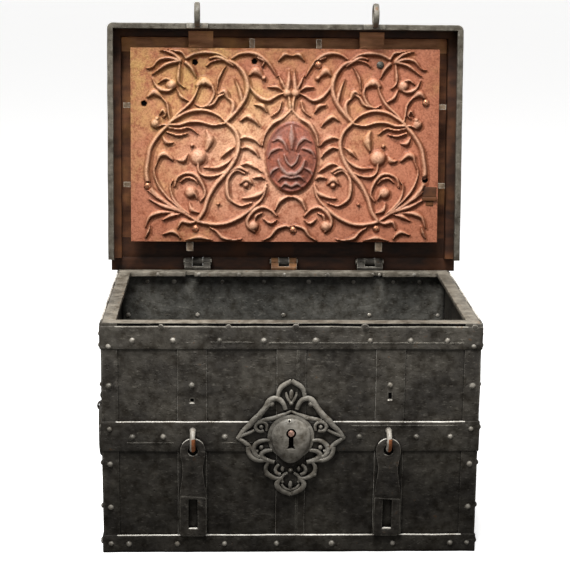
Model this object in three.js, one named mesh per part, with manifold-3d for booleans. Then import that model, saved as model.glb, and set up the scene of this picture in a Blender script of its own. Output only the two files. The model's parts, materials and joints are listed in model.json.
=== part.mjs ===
// Riveted iron strongbox: a plated body with hoops and straps, a hinged lid with an eight bolt lock,
// two hasps for padlocks, two bail handles and a blind keyhole with an openwork escutcheon.
// Millimetres, +Z up, the front faces -Y, the origin is the middle of the underside.
// The lid stands open. Its pieces are placed as on the closed box, inside a group turned about the hinge.

import * as THREE from 'three';
import { mergeVertices } from 'three/addons/utils/BufferGeometryUtils.js';
import Module from 'manifold-3d';

// Body
const bodyWidth = 600; // over the hoops
const bodyDepth = 396;
const bodyHeight = 380;
const plateThickness = 3;
const seatGap = 0.3; // between pieces that are riveted to each other
const hoopThickness = 3.7;
const strapThickness = 2; // straps pass under the hoops
const topHoopHeight = 42;
const middleHoopHeight = 50;
const middleHoopDrop = 184.5; // middle of the middle hoop below the rim
const bottomHoopHeight = 30;
const rimBarWidth = 20.5;
const rimBarThickness = 8;
const strapWidth = 46;
const strapSpacing = 156; // from the centre strap to the outer ones
const sideStrapSpacing = 140; // between the two straps of a side
const strapRivetDrop = 86; // below the rim, on the outer front straps
const cornerStrapWidth = 28;

// Rivets
const rivetRadius = 4;
const rivetHeight = 2.2;
const rivetSink = 0.6; // how far its root reaches into the piece that it is part of
const rivetSides = 8;

// Lid
const lidOpenAngle = 97; // degrees, as the lid stands open
const hingeBack = 12; // hinge axis behind the back of the body
const hingeRise = 12; // hinge axis above the rim
const lidPlateThickness = 4;
const lidCornerRadius = 10;
const skirtOverlap = 42; // how far the skirt comes down over the body
const skirtSideClearance = 3;
const skirtFrontClearance = 5;
const beadWidth = 10;
const beadHeight = 10;
const skirtWall = 5;
const ledgeWidth = 21; // the ledge that rests on the rim, with the wall
const ledgeClearance = 0.8; // above the rim with the lid shut
const lidRise = 20; // underside of the lid plate above the rim
const lidRearMargin = 7; // from the hinge axis forward to where the skirts and straps of the lid end
const lidTailReach = 17; // of the lid plate past the hinge axis, beside the hinges
const lidStrapThickness = 3;

// Hinges
const knuckleRadius = 7;
const lidKnuckleWidth = 18;
const knuckleGap = 0.5; // between the knuckles of one hinge
const hingePinRadius = 3.2;
const hingePinClearance = 0.4;
const hingePinHeadRadius = 5;
const hingePinHeadThickness = 2;
const hingeLeafThickness = 4;
const hingeClearance = 0.6; // around the leaves, so that they clear the rim and the lid
const knuckleArmShare = 0.8; // of the knuckle's radius, where the arm meets it

// Lock
const coverSideMargin = 26.5; // from the body's outer face in to the cover plate's edge
const coverEndMargin = 27; // the same at the front and back
const coverThickness = 2.8;
const coverDrop = 21.7; // top of the cover plate below the rim with the lid shut
const boltThickness = 11;
const boltTravel = 17; // of every bolt; the rotor's pin swings inward in the bar's slot meanwhile
const boltReach = 17; // how far the front and rear bolts stand out past the cover plate
const sideBoltReach = 13;
const boltWidth = 9;
const rearBoltWidth = 12;
const frontBoltSpacing = 118;
const rearBoltSpacing = 338;
const sideBoltSpacing = 140;
const rotorPinRadius = 4;
const rotorArm = 44; // from the rotor's axis to its pins
const rotorThickness = 5;
const rotorRadius = 52;
const rotorHubRadius = 9;
const keyBoreRadius = 4;
const slideClearance = 0.5;
const barWidth = 12;
const crossBarGap = 3.5; // between neighbouring bolt bars, drawn back
const guideWidth = 6;
const guideLength = 12;
const guideInset = 4;
const coverPostRadius = 5;
const coverPostInset = 27;
const screwRadius = 7;
const screwHeight = 1.5;
const keyholeRadius = 8;

// Relief of the cover plate: main stems and buds round a cartouche
const stemHeight = 4.6;
const stemWidth = 14;
const budRadius = 11;
const budHeight = 5;
const cartoucheHalfWidth = 46;
const cartoucheHalfHeight = 64;
const cartoucheHeight = 8;
const cartoucheDrop = 20; // its centre below the plate's centre
const reliefOffset = 11; // the relief's axis beside the plate's centre
// Stems and buds of the left half, of half the plate's width and depth, up and right as one sees them
const stemShares = [
  [[-0.57, -0.77], [-0.5, -0.54], [-0.39, -0.29], [-0.31, 0.01], [-0.39, 0.25]],
  [[-0.39, 0.25], [-0.27, 0.46], [-0.27, 0.73], [-0.4, 0.87], [-0.51, 0.82]],
  [[-0.39, 0.25], [-0.53, 0.36], [-0.65, 0.34], [-0.75, 0.22]],
  [[-0.75, 0.22], [-0.87, -0.02], [-0.9, -0.29], [-0.82, -0.53], [-0.57, -0.77]],
  [[-0.12, -0.42], [-0.22, -0.64], [-0.38, -0.8], [-0.57, -0.77]],
  [[-0.86, 0.71], [-0.77, 0.84], [-0.66, 0.88], [-0.51, 0.82]],
  [[-0.68, 0.85], [-0.69, 0.65], [-0.58, 0.52], [-0.46, 0.52]],
  [[-0.27, 0.73], [-0.17, 0.5], [-0.06, 0.51], [0.01, 0.58]],
  [[-0.72, -0.38], [-0.66, -0.25], [-0.58, -0.35], [-0.56, -0.58]],
  [[-0.23, -0.25], [-0.35, -0.3], [-0.36, -0.5], [-0.24, -0.56], [-0.12, -0.42]],
  [[-0.91, -0.86], [-0.82, -0.7], [-0.72, -0.69], [-0.57, -0.77]],
  [[-0.14, -0.9], [-0.29, -0.92], [-0.44, -0.93], [-0.57, -0.77]],
];
const budShares = [
  [-0.57, -0.12], [-0.73, 0.61], [-0.84, 0.22], [-0.61, -0.49], [-0.2, -0.83], [-0.2, 0.76], [-0.54, 0.66],
  [-0.26, -0.4], [0.01, 0.62],
];
const rearNotchDepth = 11; // notch in the back rim bar, through which a rear bolt swings
const notchClearance = 2;

// Hasps and what they work with
const haspSpacing = 310;
const haspThickness = 5;
const haspWidth = 43;
const haspWaist = 32;
const haspWaistDrop = 50; // below the pivot, like the next
const haspFlareDrop = 92;
const haspCorner = 5.4;
const haspTopWidth = 40;
const haspLength = 160; // below the pivot
const haspSlotTop = 97;
const haspSlotLength = 51;
const haspSlotWidth = 15;
const haspStandOff = 2; // behind a hanging hasp, so that its head clears the hoop as it swings up
const haspHead = 3.4; // above the pivot
const stapleRingRadius = 14.5;
const stapleRodRadius = 4.5;
const haspEyeRadius = 8;
const haspEyeSlack = 0.9; // between the staple and the top of the eye that hangs on it
const hookRingRadius = 21;
const hookHoleRadius = 12;
const hookThickness = 11.5;
const hookForward = 24; // ring's centre in front of the hasp's pivot
const hookAbove = 122; // ring's centre above the hasp's pivot
const hookBarWidth = 38;
const hookBarHeight = 7;

// Keyhole of the front, which opens nothing
const escutcheonHalfWidth = 86;
const escutcheonHalfHeight = 97;
const escutcheonThickness = 3;
const escutcheonWire = 5;
const openScrollShare = 1.5; // of the wire: a scroll of a larger radius is a ring
const spineShare = 0.8; // of the wire: half of the spine's width
const escutcheonRivetShare = 0.575; // of the half height
const bossRadius = 31.6;
const bossHeight = 12;
const bossTail = 43; // from the boss's centre to the tip of its tail
const bossTailThickness = 4;
const bossTailShares = [0.8, 0.72, 0.7]; // of the boss's radius: half widths at centre and lower, and drop
const bossHoleRadius = 7.5;
const bossHoleDepth = 7;
const bossPinRadius = 4.5;
const bossPinHeight = 9;
const bossSlotWidth = 7;
const bossSlotLength = 22;

// Handles
const handleSpacing = 62; // between the two eyes of a handle
const handlePlateWidth = 92;
const handlePlateHeight = 44;
const handlePlateThickness = 2.6;
const handleRivetInset = 8; // from the plate's edges
const handleAxisOut = 12; // bail's axis outside the hoop
const eyeRadius = 8;
const eyeThickness = 9;
const bailRodRadius = 4.5;
const bailClearance = 0.8;
const bailDrop = 95;
const bailShoulder = 46; // half of the bail's width at its widest
// Points of a bail's side: shares of the shoulder's half width, and of the drop
const bailSideShares = [[0.935, 0.047], [1, 0.15], [1, 0.55], [0.7, 0.88], [0, 1]];

// Cover over the keyhole in the lid
const keyCoverRadius = 22;
const keyCoverThickness = 3;
const keyCoverPivot = 32; // pivot in front of the keyhole: the cover hangs shut on the open lid
const keyCoverPivotRadius = 3;
const keyCoverLugRadius = 9;

const overrun = 20; // how far a cutting shape passes through

// Materials
const iron = { color: 0x2e2c29, roughness: 0.62, metalness: 0.75 };
const wornIron = { color: 0x4a463f, roughness: 0.55, metalness: 0.8 };
const innerIron = { color: 0x4a2c1f, roughness: 0.8, metalness: 0.4 };
const paintedCover = { color: 0xb5704f, roughness: 0.7, metalness: 0.1 };
const brightIron = { color: 0x6b665d, roughness: 0.45, metalness: 0.85 };

// Derived sizes and places
const coverWidth = bodyWidth - 2 * coverSideMargin;
const coverDepth = bodyDepth - 2 * coverEndMargin;
// From the rotor's axis out to the cross bars, which clear the ends of their neighbours when drawn back
const sideBarHalf = (sideBoltSpacing + boltWidth) / 2;
const rearBarHalf = (rearBoltSpacing + rearBoltWidth) / 2;
const endCross = sideBarHalf + crossBarGap + boltTravel + barWidth;
const sideCross = rearBarHalf + crossBarGap + boltTravel + barWidth;
const front = -bodyDepth / 2;
const halfWidth = bodyWidth / 2;
const halfDepth = bodyDepth / 2;
const plateX = halfWidth - hoopThickness - seatGap; // outer face of a side plate
const plateY = halfDepth - hoopThickness - seatGap; // outer face of the front plate
const rim = bodyHeight;
const hingeY = halfDepth + hingeBack;
const hingeZ = rim + hingeRise;
const skirtOuterX = halfWidth + skirtSideClearance + beadWidth;
const skirtOuterY = halfDepth + skirtFrontClearance + beadWidth;
const skirtBottom = rim - skirtOverlap;
const lidUnderside = rim + lidRise;
const lidRear = hingeY - lidRearMargin;
const lidTop = lidUnderside + lidPlateThickness;
const coverTop = rim - coverDrop;
const boltBottom = coverTop + seatGap;
const boltTop = boltBottom + boltThickness;
const pivotY = front - haspStandOff - haspThickness / 2;
const pivotZ = rim - middleHoopDrop - seatGap - stapleRodRadius;
const strapPlaces = [-strapSpacing, 0, strapSpacing];
const haspPlaces = { left: -haspSpacing / 2, right: haspSpacing / 2 };

// Shares of the half width at which the rivets of each hoop stand, and of the half depth on the sides
const topRivetShares = [-0.955, -0.83, -0.62, -0.377, -0.145, 0.125, 0.41, 0.62, 0.815, 0.955];
const middleRivetShares = [-0.955, -0.835, -0.672, -0.35, 0.36, 0.66, 0.84, 0.955];
const bottomRivetShares = [-0.955, -0.86, -0.6, -0.35, -0.075, 0.22, 0.55, 0.86, 0.955];
const sideRivetShares = [-0.92, -0.62, -0.36, -0.12, 0.12, 0.36, 0.62, 0.92];
const middleSideRivetShares = [-0.92, -0.62, -0.36, 0.36, 0.62, 0.92]; // clear of the handle plates
const cornerRivetShares = [0.21, 0.4, 0.74]; // of the body's height

const wasm = await Module();
wasm.setup();

// Solids and meshes

function solid(geometry) {
  const bare = geometry.index ? geometry.toNonIndexed() : geometry.clone();
  bare.deleteAttribute('normal');
  bare.deleteAttribute('uv');
  const merged = mergeVertices(bare);
  const vertProperties = new Float32Array(merged.attributes.position.array);
  const triVerts = new Uint32Array(merged.index.array);
  return new wasm.Manifold(new wasm.Mesh({ numProp: 3, vertProperties, triVerts }));
}

function geometryOf(manifold) {
  const { vertProperties, triVerts, numProp } = manifold.getMesh();
  const geometry = new THREE.BufferGeometry();
  const points = [];
  for (let i = 0; i < vertProperties.length; i += numProp) {
    points.push(vertProperties[i], vertProperties[i + 1], vertProperties[i + 2]);
  }
  geometry.setAttribute('position', new THREE.Float32BufferAttribute(points, 3));
  geometry.setIndex(Array.from(triVerts));
  geometry.computeVertexNormals();
  return geometry;
}

function piece(name, manifold, look, parent) {
  const mesh = new THREE.Mesh(geometryOf(manifold), new THREE.MeshStandardMaterial(look));
  mesh.name = name;
  parent.add(mesh);
  return mesh;
}

function block(x0, x1, y0, y1, z0, z1) {
  const geometry = new THREE.BoxGeometry(x1 - x0, y1 - y0, z1 - z0);
  return solid(geometry.translate((x0 + x1) / 2, (y0 + y1) / 2, (z0 + z1) / 2));
}

function joined(solids) {
  return solids.reduce((sum, next) => sum.add(next));
}

// A round bar from one point to another
function rod(from, to, radius, sides = 16) {
  const along = new THREE.Vector3().subVectors(to, from);
  const geometry = new THREE.CylinderGeometry(radius, radius, along.length(), sides);
  const upright = new THREE.Vector3(0, 1, 0);
  const turn = new THREE.Quaternion().setFromUnitVectors(upright, along.clone().normalize());
  geometry.applyQuaternion(turn);
  geometry.translate((from.x + to.x) / 2, (from.y + to.y) / 2, (from.z + to.z) / 2);
  return solid(geometry);
}

// An outline of [y, z] points drawn along X from x0 to x1
function alongX(outline, x0, x1) {
  const shape = new THREE.Shape(outline.map(([y, z]) => new THREE.Vector2(y, z)));
  const geometry = new THREE.ExtrudeGeometry(shape, { depth: x1 - x0, bevelEnabled: false });
  const axes = new THREE.Matrix4().set(0, 0, 1, x0, 1, 0, 0, 0, 0, 1, 0, 0, 0, 0, 0, 1);
  return solid(geometry.applyMatrix4(axes));
}

// A shape drawn in X and Z, given thickness along Y from y0 to y1
function plateXZ(shape, y0, y1, segments = 8) {
  const geometry = new THREE.ExtrudeGeometry(shape, {
    depth: y1 - y0, bevelEnabled: false, curveSegments: segments,
  });
  const axes = new THREE.Matrix4().set(1, 0, 0, 0, 0, 0, -1, y1, 0, 1, 0, 0, 0, 0, 0, 1);
  return solid(geometry.applyMatrix4(axes));
}

// A closed tube of a round section along a curve
function tube(curve, radius, steps, sides = 8) {
  const section = new THREE.Shape();
  for (let i = 0; i < sides; i += 1) {
    const angle = (i / sides) * Math.PI * 2;
    const point = [radius * Math.cos(angle), radius * Math.sin(angle)];
    if (i === 0) section.moveTo(...point);
    else section.lineTo(...point);
  }
  return solid(new THREE.ExtrudeGeometry(section, { steps, extrudePath: curve, bevelEnabled: false }));
}

// A domed rivet head whose root reaches into the face at the point, with the given outward direction
function rivet(point, outward, radius = rivetRadius, height = rivetHeight) {
  const profile = [
    new THREE.Vector2(0, -rivetSink),
    new THREE.Vector2(radius, -rivetSink),
    new THREE.Vector2(radius, 0),
    new THREE.Vector2(radius * Math.cos(Math.PI / 4), height * Math.sin(Math.PI / 4)),
    new THREE.Vector2(0, height),
  ];
  const geometry = new THREE.LatheGeometry(profile, rivetSides);
  geometry.applyQuaternion(new THREE.Quaternion().setFromUnitVectors(new THREE.Vector3(0, 1, 0), outward));
  return solid(geometry.translate(point.x, point.y, point.z));
}

const vector = (x, y, z) => new THREE.Vector3(x, y, z);
const toFront = vector(0, -1, 0);
const toBack = vector(0, 1, 0);
const toLeft = vector(-1, 0, 0);
const toRight = vector(1, 0, 0);
const up = vector(0, 0, 1);

// The body: plates, rim bars, corner straps, hoops and straps

function bodyPlates(parent) {
  const top = rim - rimBarThickness - seatGap;
  const innerY = plateY - plateThickness;
  const innerX = plateX - plateThickness;
  piece('front_plate', block(-plateX, plateX, -plateY, -innerY, 0, top), iron, parent);
  piece('back_plate', block(-plateX, plateX, innerY, plateY, 0, top), iron, parent);
  const endY = innerY - seatGap;
  piece('left_side_plate', block(-plateX, -innerX, -endY, endY, 0, top), iron, parent);
  piece('right_side_plate', block(innerX, plateX, -endY, endY, 0, top), iron, parent);
  const endX = innerX - seatGap;
  piece('floor_plate', block(-endX, endX, -endY, endY, 0, plateThickness), innerIron, parent);
}

function rimBars(parent) {
  const bottom = rim - rimBarThickness;
  const innerY = plateY - rimBarWidth;
  const innerX = plateX - rimBarWidth;
  piece('rim_bar_front', block(-plateX, plateX, -plateY, -innerY, bottom, rim), wornIron, parent);
  const notchHalf = rearBoltWidth / 2 + notchClearance;
  let back = block(-plateX, plateX, innerY, plateY, bottom, rim);
  for (const x of [-rearBoltSpacing / 2, rearBoltSpacing / 2]) {
    const notch = block(x - notchHalf, x + notchHalf, innerY - overrun, innerY + rearNotchDepth,
      bottom - overrun, rim + overrun);
    back = back.subtract(notch);
  }
  piece('rim_bar_back', back, wornIron, parent);
  const endY = innerY - seatGap;
  piece('rim_bar_left', block(-plateX, -innerX, -endY, endY, bottom, rim), wornIron, parent);
  piece('rim_bar_right', block(innerX, plateX, -endY, endY, bottom, rim), wornIron, parent);
}

// The room that straps and corner straps need inside a hoop
function strapRoom(z0, z1) {
  const deepX = plateX + seatGap + strapThickness + seatGap;
  const deepY = plateY + seatGap + strapThickness + seatGap;
  const half = strapWidth / 2 + seatGap;
  const rooms = strapPlaces.map((x) => block(x - half, x + half, -deepY, deepY, z0, z1));
  for (const y of [-sideStrapSpacing / 2, sideStrapSpacing / 2]) {
    rooms.push(block(-deepX, deepX, y - half, y + half, z0, z1));
  }
  const cornerX = halfWidth - cornerStrapWidth - seatGap;
  const cornerY = halfDepth - cornerStrapWidth - seatGap;
  for (const sx of [-1, 1]) {
    for (const sy of [-1, 1]) {
      const xs = [sx * cornerX, sx * deepX].sort((a, b) => a - b);
      const ys = [sy * cornerY, sy * deepY].sort((a, b) => a - b);
      rooms.push(block(xs[0], xs[1], ys[0], ys[1], z0, z1));
    }
  }
  return joined(rooms);
}

function hoop(name, z0, z1, shares, sideShares, parent) {
  let ring = block(-halfWidth, halfWidth, -halfDepth, halfDepth, z0, z1);
  ring = ring.subtract(block(-plateX - seatGap, plateX + seatGap, -plateY - seatGap, plateY + seatGap,
    z0 - overrun, z1 + overrun));
  ring = ring.subtract(strapRoom(z0 - overrun, z1 + overrun));
  const middle = (z0 + z1) / 2;
  const heads = [];
  for (const share of shares) {
    heads.push(rivet(vector(share * halfWidth, -halfDepth, middle), toFront));
    heads.push(rivet(vector(-share * halfWidth, halfDepth, middle), toBack));
  }
  for (const share of sideShares) {
    heads.push(rivet(vector(-halfWidth, share * halfDepth, middle), toLeft));
    heads.push(rivet(vector(halfWidth, share * halfDepth, middle), toRight));
  }
  piece(name, joined([ring, ...heads]), iron, parent);
}

function hoops(parent) {
  const middle = rim - middleHoopDrop;
  const half = middleHoopHeight / 2;
  hoop('top_hoop', rim - topHoopHeight, rim, topRivetShares, sideRivetShares, parent);
  hoop('middle_hoop', middle - half, middle + half, middleRivetShares, middleSideRivetShares, parent);
  hoop('bottom_hoop', seatGap, seatGap + bottomHoopHeight, bottomRivetShares, sideRivetShares, parent);
}

function cornerStrap(name, sx, sy, parent) {
  const innerX = plateX + seatGap;
  const innerY = plateY + seatGap;
  const outerX = innerX + strapThickness;
  const outerY = innerY + strapThickness;
  const legX = halfWidth - cornerStrapWidth;
  const legY = halfDepth - cornerStrapWidth;
  const sorted = (a, b) => (a < b ? [a, b] : [b, a]);
  const legA = [...sorted(sx * legX, sx * outerX), ...sorted(sy * innerY, sy * outerY)];
  const legB = [...sorted(sx * innerX, sx * outerX), ...sorted(sy * legY, sy * outerY)];
  const parts = [legA, legB].map((leg) => block(...leg, seatGap, rim));
  for (const share of cornerRivetShares) {
    const z = share * rim;
    const x = sx * (legX + outerX) / 2;
    const y = sy * (legY + outerY) / 2;
    parts.push(rivet(vector(x, sy * outerY, z), sy < 0 ? toFront : toBack));
    parts.push(rivet(vector(sx * outerX, y, z), sx < 0 ? toLeft : toRight));
  }
  piece(name, joined(parts), iron, parent);
}

function frontStrap(name, x, withRivet, parent) {
  const inner = plateY + seatGap;
  const outer = inner + strapThickness;
  const parts = [block(x - strapWidth / 2, x + strapWidth / 2, -outer, -inner, seatGap, rim)];
  if (withRivet) {
    parts.push(rivet(vector(x, -outer, rim - strapRivetDrop), toFront));
  }
  piece(name, joined(parts), iron, parent);
}

function sideStrap(name, sx, y, parent) {
  const inner = plateX + seatGap;
  const outer = inner + strapThickness;
  const xs = sx < 0 ? [-outer, -inner] : [inner, outer];
  const strap = block(...xs, y - strapWidth / 2, y + strapWidth / 2, seatGap, rim);
  const head = rivet(vector(sx * outer, y, (rim - middleHoopDrop) / 2), sx < 0 ? toLeft : toRight);
  piece(name, strap.add(head), iron, parent);
}

// A back strap ends above the rim in two knuckles, with room between them for the lid's knuckle
function hingeStrap(name, x, parent) {
  const inner = plateY + seatGap;
  const outer = inner + strapThickness;
  const clear = rim + hingeClearance;
  const half = strapWidth / 2;
  const strap = block(x - half, x + half, inner, outer, seatGap, clear + hingeLeafThickness / 2);
  const arm = alongX([
    [inner, clear],
    [hingeY - knuckleRadius / 2, clear],
    [hingeY, hingeZ - knuckleRadius * knuckleArmShare],
    [hingeY - knuckleRadius * knuckleArmShare, hingeZ],
    [inner, clear + hingeLeafThickness],
  ], x - half, x + half);
  const barrel = rod(vector(x - half, hingeY, hingeZ), vector(x + half, hingeY, hingeZ), knuckleRadius);
  const bore = rod(vector(x - half - overrun, hingeY, hingeZ), vector(x + half + overrun, hingeY, hingeZ),
    hingePinRadius + hingePinClearance, 12);
  const windowHalf = lidKnuckleWidth / 2 + knuckleGap;
  const windowRoom = block(x - windowHalf, x + windowHalf, outer + seatGap, hingeY + overrun,
    clear - overrun, hingeZ + overrun);
  const knuckles = joined([arm, barrel]).subtract(bore).subtract(windowRoom);
  const parts = [strap.add(knuckles)];
  for (const share of cornerRivetShares) parts.push(rivet(vector(x, outer, share * rim), toBack));
  piece(name, joined(parts), iron, parent);
}

function hingePin(name, x, parent) {
  const half = strapWidth / 2 + seatGap;
  const end = half + hingePinHeadThickness;
  const shank = rod(vector(x - end, hingeY, hingeZ), vector(x + end, hingeY, hingeZ), hingePinRadius, 12);
  const heads = [-1, 1].map((side) => rod(
    vector(x + side * half, hingeY, hingeZ), vector(x + side * end, hingeY, hingeZ), hingePinHeadRadius, 12,
  ));
  piece(name, joined([shank, ...heads]), brightIron, parent);
}

// The blind keyhole in its openwork escutcheon

// Centres and radii of the scrolls as shares of the escutcheon's half height, right half
const middleScrollShares = [[0, 0.78, 0.18], [0, -0.8, 0.2]];
const pairedScrollShares = [
  [0.27, 0.54, 0.135], [0.49, 0.19, 0.11], [0.72, 0.08, 0.115], [0.5, -0.16, 0.11],
  [0.27, -0.59, 0.13], [0.41, -0.37, 0.1], [0.4, 0.37, 0.09],
];

function scroll(x, z, radius, y0, y1) {
  const shape = new THREE.Shape().absarc(x, z, radius, 0, Math.PI * 2, false);
  if (radius > escutcheonWire * openScrollShare) {
    shape.holes.push(new THREE.Path().absarc(x, z, radius - escutcheonWire, 0, Math.PI * 2, true));
  }
  return plateXZ(shape, y0, y1, 5);
}

// A flat bar from the middle of the escutcheon to the near edge of a scroll
function stem(z, dx, dz, radius, y0, y1) {
  const length = Math.hypot(dx, dz);
  const [ux, uz] = [dx / length, dz / length];
  const end = length - radius + escutcheonWire / 2;
  const half = escutcheonWire / 2;
  const corners = [[0, -half], [end, -half], [end, half], [0, half]];
  const outline = corners.map(([a, b]) => new THREE.Vector2(ux * a - uz * b, z + uz * a + ux * b));
  return plateXZ(new THREE.Shape(outline), y0, y1);
}

function escutcheon(parent) {
  const y1 = front - seatGap;
  const y0 = y1 - escutcheonThickness;
  const z = rim - middleHoopDrop;
  const size = escutcheonHalfHeight;
  const disc = new THREE.Shape().absarc(0, z, bossRadius + escutcheonWire, 0, Math.PI * 2, false);
  const parts = [plateXZ(disc, y0, y1, 8)];
  for (const [x, rise, radius] of middleScrollShares) {
    parts.push(scroll(x * size, z + rise * size, radius * size, y0, y1));
  }
  for (const [x, rise, radius] of pairedScrollShares) {
    for (const side of [-1, 1]) {
      parts.push(scroll(side * x * size, z + rise * size, radius * size, y0, y1));
      parts.push(stem(z, side * x * size, rise * size, radius * size, y0, y1));
    }
  }
  const spine = escutcheonWire * spineShare;
  parts.push(block(-spine, spine, y0, y1, z - size, z + size));
  parts.push(block(-escutcheonHalfWidth, escutcheonHalfWidth, y0, y1, z - spine, z + spine));
  parts.push(rivet(vector(0, y0, z + size * escutcheonRivetShare), toFront));
  parts.push(rivet(vector(0, y0, z - size * escutcheonRivetShare), toFront));
  piece('keyhole_escutcheon', joined(parts), wornIron, parent);
}

function keyholeBoss(parent) {
  const back = front - seatGap - escutcheonThickness - seatGap;
  const z = rim - middleHoopDrop;
  const turn = new THREE.Matrix4().makeRotationX(Math.PI);
  const dome = [];
  const rings = 4;
  for (let i = 0; i <= rings; i += 1) {
    const angle = (i / rings) * Math.PI / 2;
    dome.push(new THREE.Vector2(bossRadius * Math.cos(angle), bossHeight * Math.sin(angle)));
  }
  const profile = [new THREE.Vector2(0, 0), ...dome.slice(0, -1), new THREE.Vector2(0, bossHeight)];
  const cap = new THREE.LatheGeometry(profile, 20).applyMatrix4(turn).translate(0, back, z);
  const tail = new THREE.Shape();
  const [wide, narrow, drop] = bossTailShares.map((share) => share * bossRadius);
  tail.moveTo(-wide, z);
  tail.lineTo(-narrow, z - drop);
  tail.lineTo(0, z - bossTail);
  tail.lineTo(narrow, z - drop);
  tail.lineTo(wide, z);
  tail.closePath();
  const tailSolid = plateXZ(tail, back - bossTailThickness, back);
  const face = back - bossHeight - overrun;
  const floor = back - bossHeight + bossHoleDepth;
  const hole = rod(vector(0, face, z), vector(0, floor, z), bossHoleRadius, 14);
  const slot = block(-bossSlotWidth / 2, bossSlotWidth / 2, face, floor, z - bossSlotLength, z);
  const pin = rod(vector(0, back - bossPinHeight, z), vector(0, (floor + back) / 2, z), bossPinRadius, 12);
  piece('keyhole_boss', joined([solid(cap), tailSolid]).subtract(hole.add(slot)).add(pin), wornIron, parent);
}

// Hasps: each swings about the middle of its ring shaped staple, so the staple stays in the hasp's eye

function haspStaple(name, x, parent) {
  const seat = front - seatGap;
  const route = [vector(x, seat, pivotZ + stapleRingRadius)];
  const stops = 8;
  for (let i = 0; i <= stops; i += 1) {
    const angle = Math.PI / 2 + (i / stops) * Math.PI;
    const y = pivotY + stapleRingRadius * Math.cos(angle);
    route.push(vector(x, y, pivotZ + stapleRingRadius * Math.sin(angle)));
  }
  route.push(vector(x, seat, pivotZ - stapleRingRadius));
  piece(name, tube(new THREE.CatmullRomCurve3(route), stapleRodRadius, 16), brightIron, parent);
}

function hasp(name, x, parent) {
  const shape = new THREE.Shape();
  const top = pivotZ + haspHead;
  const waistZ = pivotZ - haspWaistDrop;
  const flareZ = pivotZ - haspFlareDrop;
  const bottom = pivotZ - haspLength;
  const neck = haspWaist - (haspTopWidth + haspWidth) / 4; // where the curves of the waist are drawn towards
  shape.moveTo(x - haspTopWidth / 2, pivotZ - stapleRingRadius);
  shape.quadraticCurveTo(x - haspTopWidth / 2, top, x, top);
  shape.quadraticCurveTo(x + haspTopWidth / 2, top, x + haspTopWidth / 2, pivotZ - stapleRingRadius);
  shape.quadraticCurveTo(x + neck, waistZ, x + haspWidth / 2, flareZ);
  shape.lineTo(x + haspWidth / 2, bottom + haspCorner);
  shape.quadraticCurveTo(x + haspWidth / 2, bottom, x + haspWidth / 2 - haspCorner, bottom);
  shape.lineTo(x - haspWidth / 2 + haspCorner, bottom);
  shape.quadraticCurveTo(x - haspWidth / 2, bottom, x - haspWidth / 2, bottom + haspCorner);
  shape.lineTo(x - haspWidth / 2, flareZ);
  shape.quadraticCurveTo(x - neck, waistZ, x - haspTopWidth / 2, pivotZ - stapleRingRadius);
  const eyeZ = pivotZ - stapleRingRadius + stapleRodRadius + haspEyeSlack - haspEyeRadius;
  shape.holes.push(new THREE.Path().absarc(x, eyeZ, haspEyeRadius, 0, Math.PI * 2, false));
  const slot = new THREE.Path();
  const slotTop = pivotZ - haspSlotTop;
  const slotBottom = slotTop - haspSlotLength;
  slot.moveTo(x - haspSlotWidth / 2, slotTop);
  slot.lineTo(x - haspSlotWidth / 2, slotBottom);
  slot.lineTo(x + haspSlotWidth / 2, slotBottom);
  slot.lineTo(x + haspSlotWidth / 2, slotTop);
  slot.closePath();
  shape.holes.push(slot);
  piece(name, plateXZ(shape, pivotY - haspThickness / 2, pivotY + haspThickness / 2, 5), wornIron, parent);
}

// Handles: a plate with two eyes on each side and a bail whose ends turn in the eyes

function handlePlate(name, sx, parent) {
  const inner = halfWidth + seatGap;
  const outer = inner + handlePlateThickness;
  const z = rim - middleHoopDrop;
  const xs = sx < 0 ? [-outer, -inner] : [inner, outer];
  const plate = block(...xs, -handlePlateWidth / 2, handlePlateWidth / 2, z - handlePlateHeight / 2,
    z + handlePlateHeight / 2);
  const axisX = sx * (halfWidth + handleAxisOut);
  const parts = [plate];
  for (const y of [-handleSpacing / 2, handleSpacing / 2]) {
    const ends = [y - eyeThickness / 2, y + eyeThickness / 2];
    const ring = rod(vector(axisX, ends[0], z), vector(axisX, ends[1], z), eyeRadius, 14);
    const middle = inner + handlePlateThickness / 2;
    const neckXs = sx < 0 ? [axisX, -middle] : [middle, axisX];
    const neck = block(...neckXs, ...ends, z - eyeRadius, z + eyeRadius);
    const bore = rod(vector(axisX, ends[0] - overrun, z), vector(axisX, ends[1] + overrun, z),
      bailRodRadius + bailClearance, 12);
    parts.push(ring.add(neck).subtract(bore));
  }
  const rivetY = handlePlateWidth / 2 - handleRivetInset;
  const rivetRise = handlePlateHeight / 2 - handleRivetInset;
  for (const y of [-rivetY, rivetY]) {
    for (const height of [z - rivetRise, z + rivetRise]) {
      const outward = sx < 0 ? toLeft : toRight;
      parts.push(rivet(vector(sx * outer, y, height), outward, rivetRadius, rivetHeight / 2));
    }
  }
  piece(name, joined(parts), iron, parent);
}

function bail(name, sx, parent) {
  const x = sx * (halfWidth + handleAxisOut);
  const z = rim - middleHoopDrop;
  const inside = handleSpacing / 2 - eyeThickness / 2 - bailRodRadius / 2;
  const outside = handleSpacing / 2 + eyeThickness / 2 + bailClearance;
  const sides = bailSideShares.map(([across, down]) => [across * bailShoulder, -down * bailDrop]);
  const points = [[inside, 0], [(inside + outside) / 2, 0], [outside, 0], ...sides];
  const mirrored = points.slice(0, -1).reverse().map(([y, dz]) => [-y, dz]);
  const route = [...points, ...mirrored].map(([y, dz]) => vector(x, y, z + dz));
  const curve = new THREE.CatmullRomCurve3(route, false, 'centripetal');
  piece(name, tube(curve, bailRodRadius, 40, 8), brightIron, parent);
}

// The lid: plate, skirts, straps with knuckles, hooks and the cover over its keyhole

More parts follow.
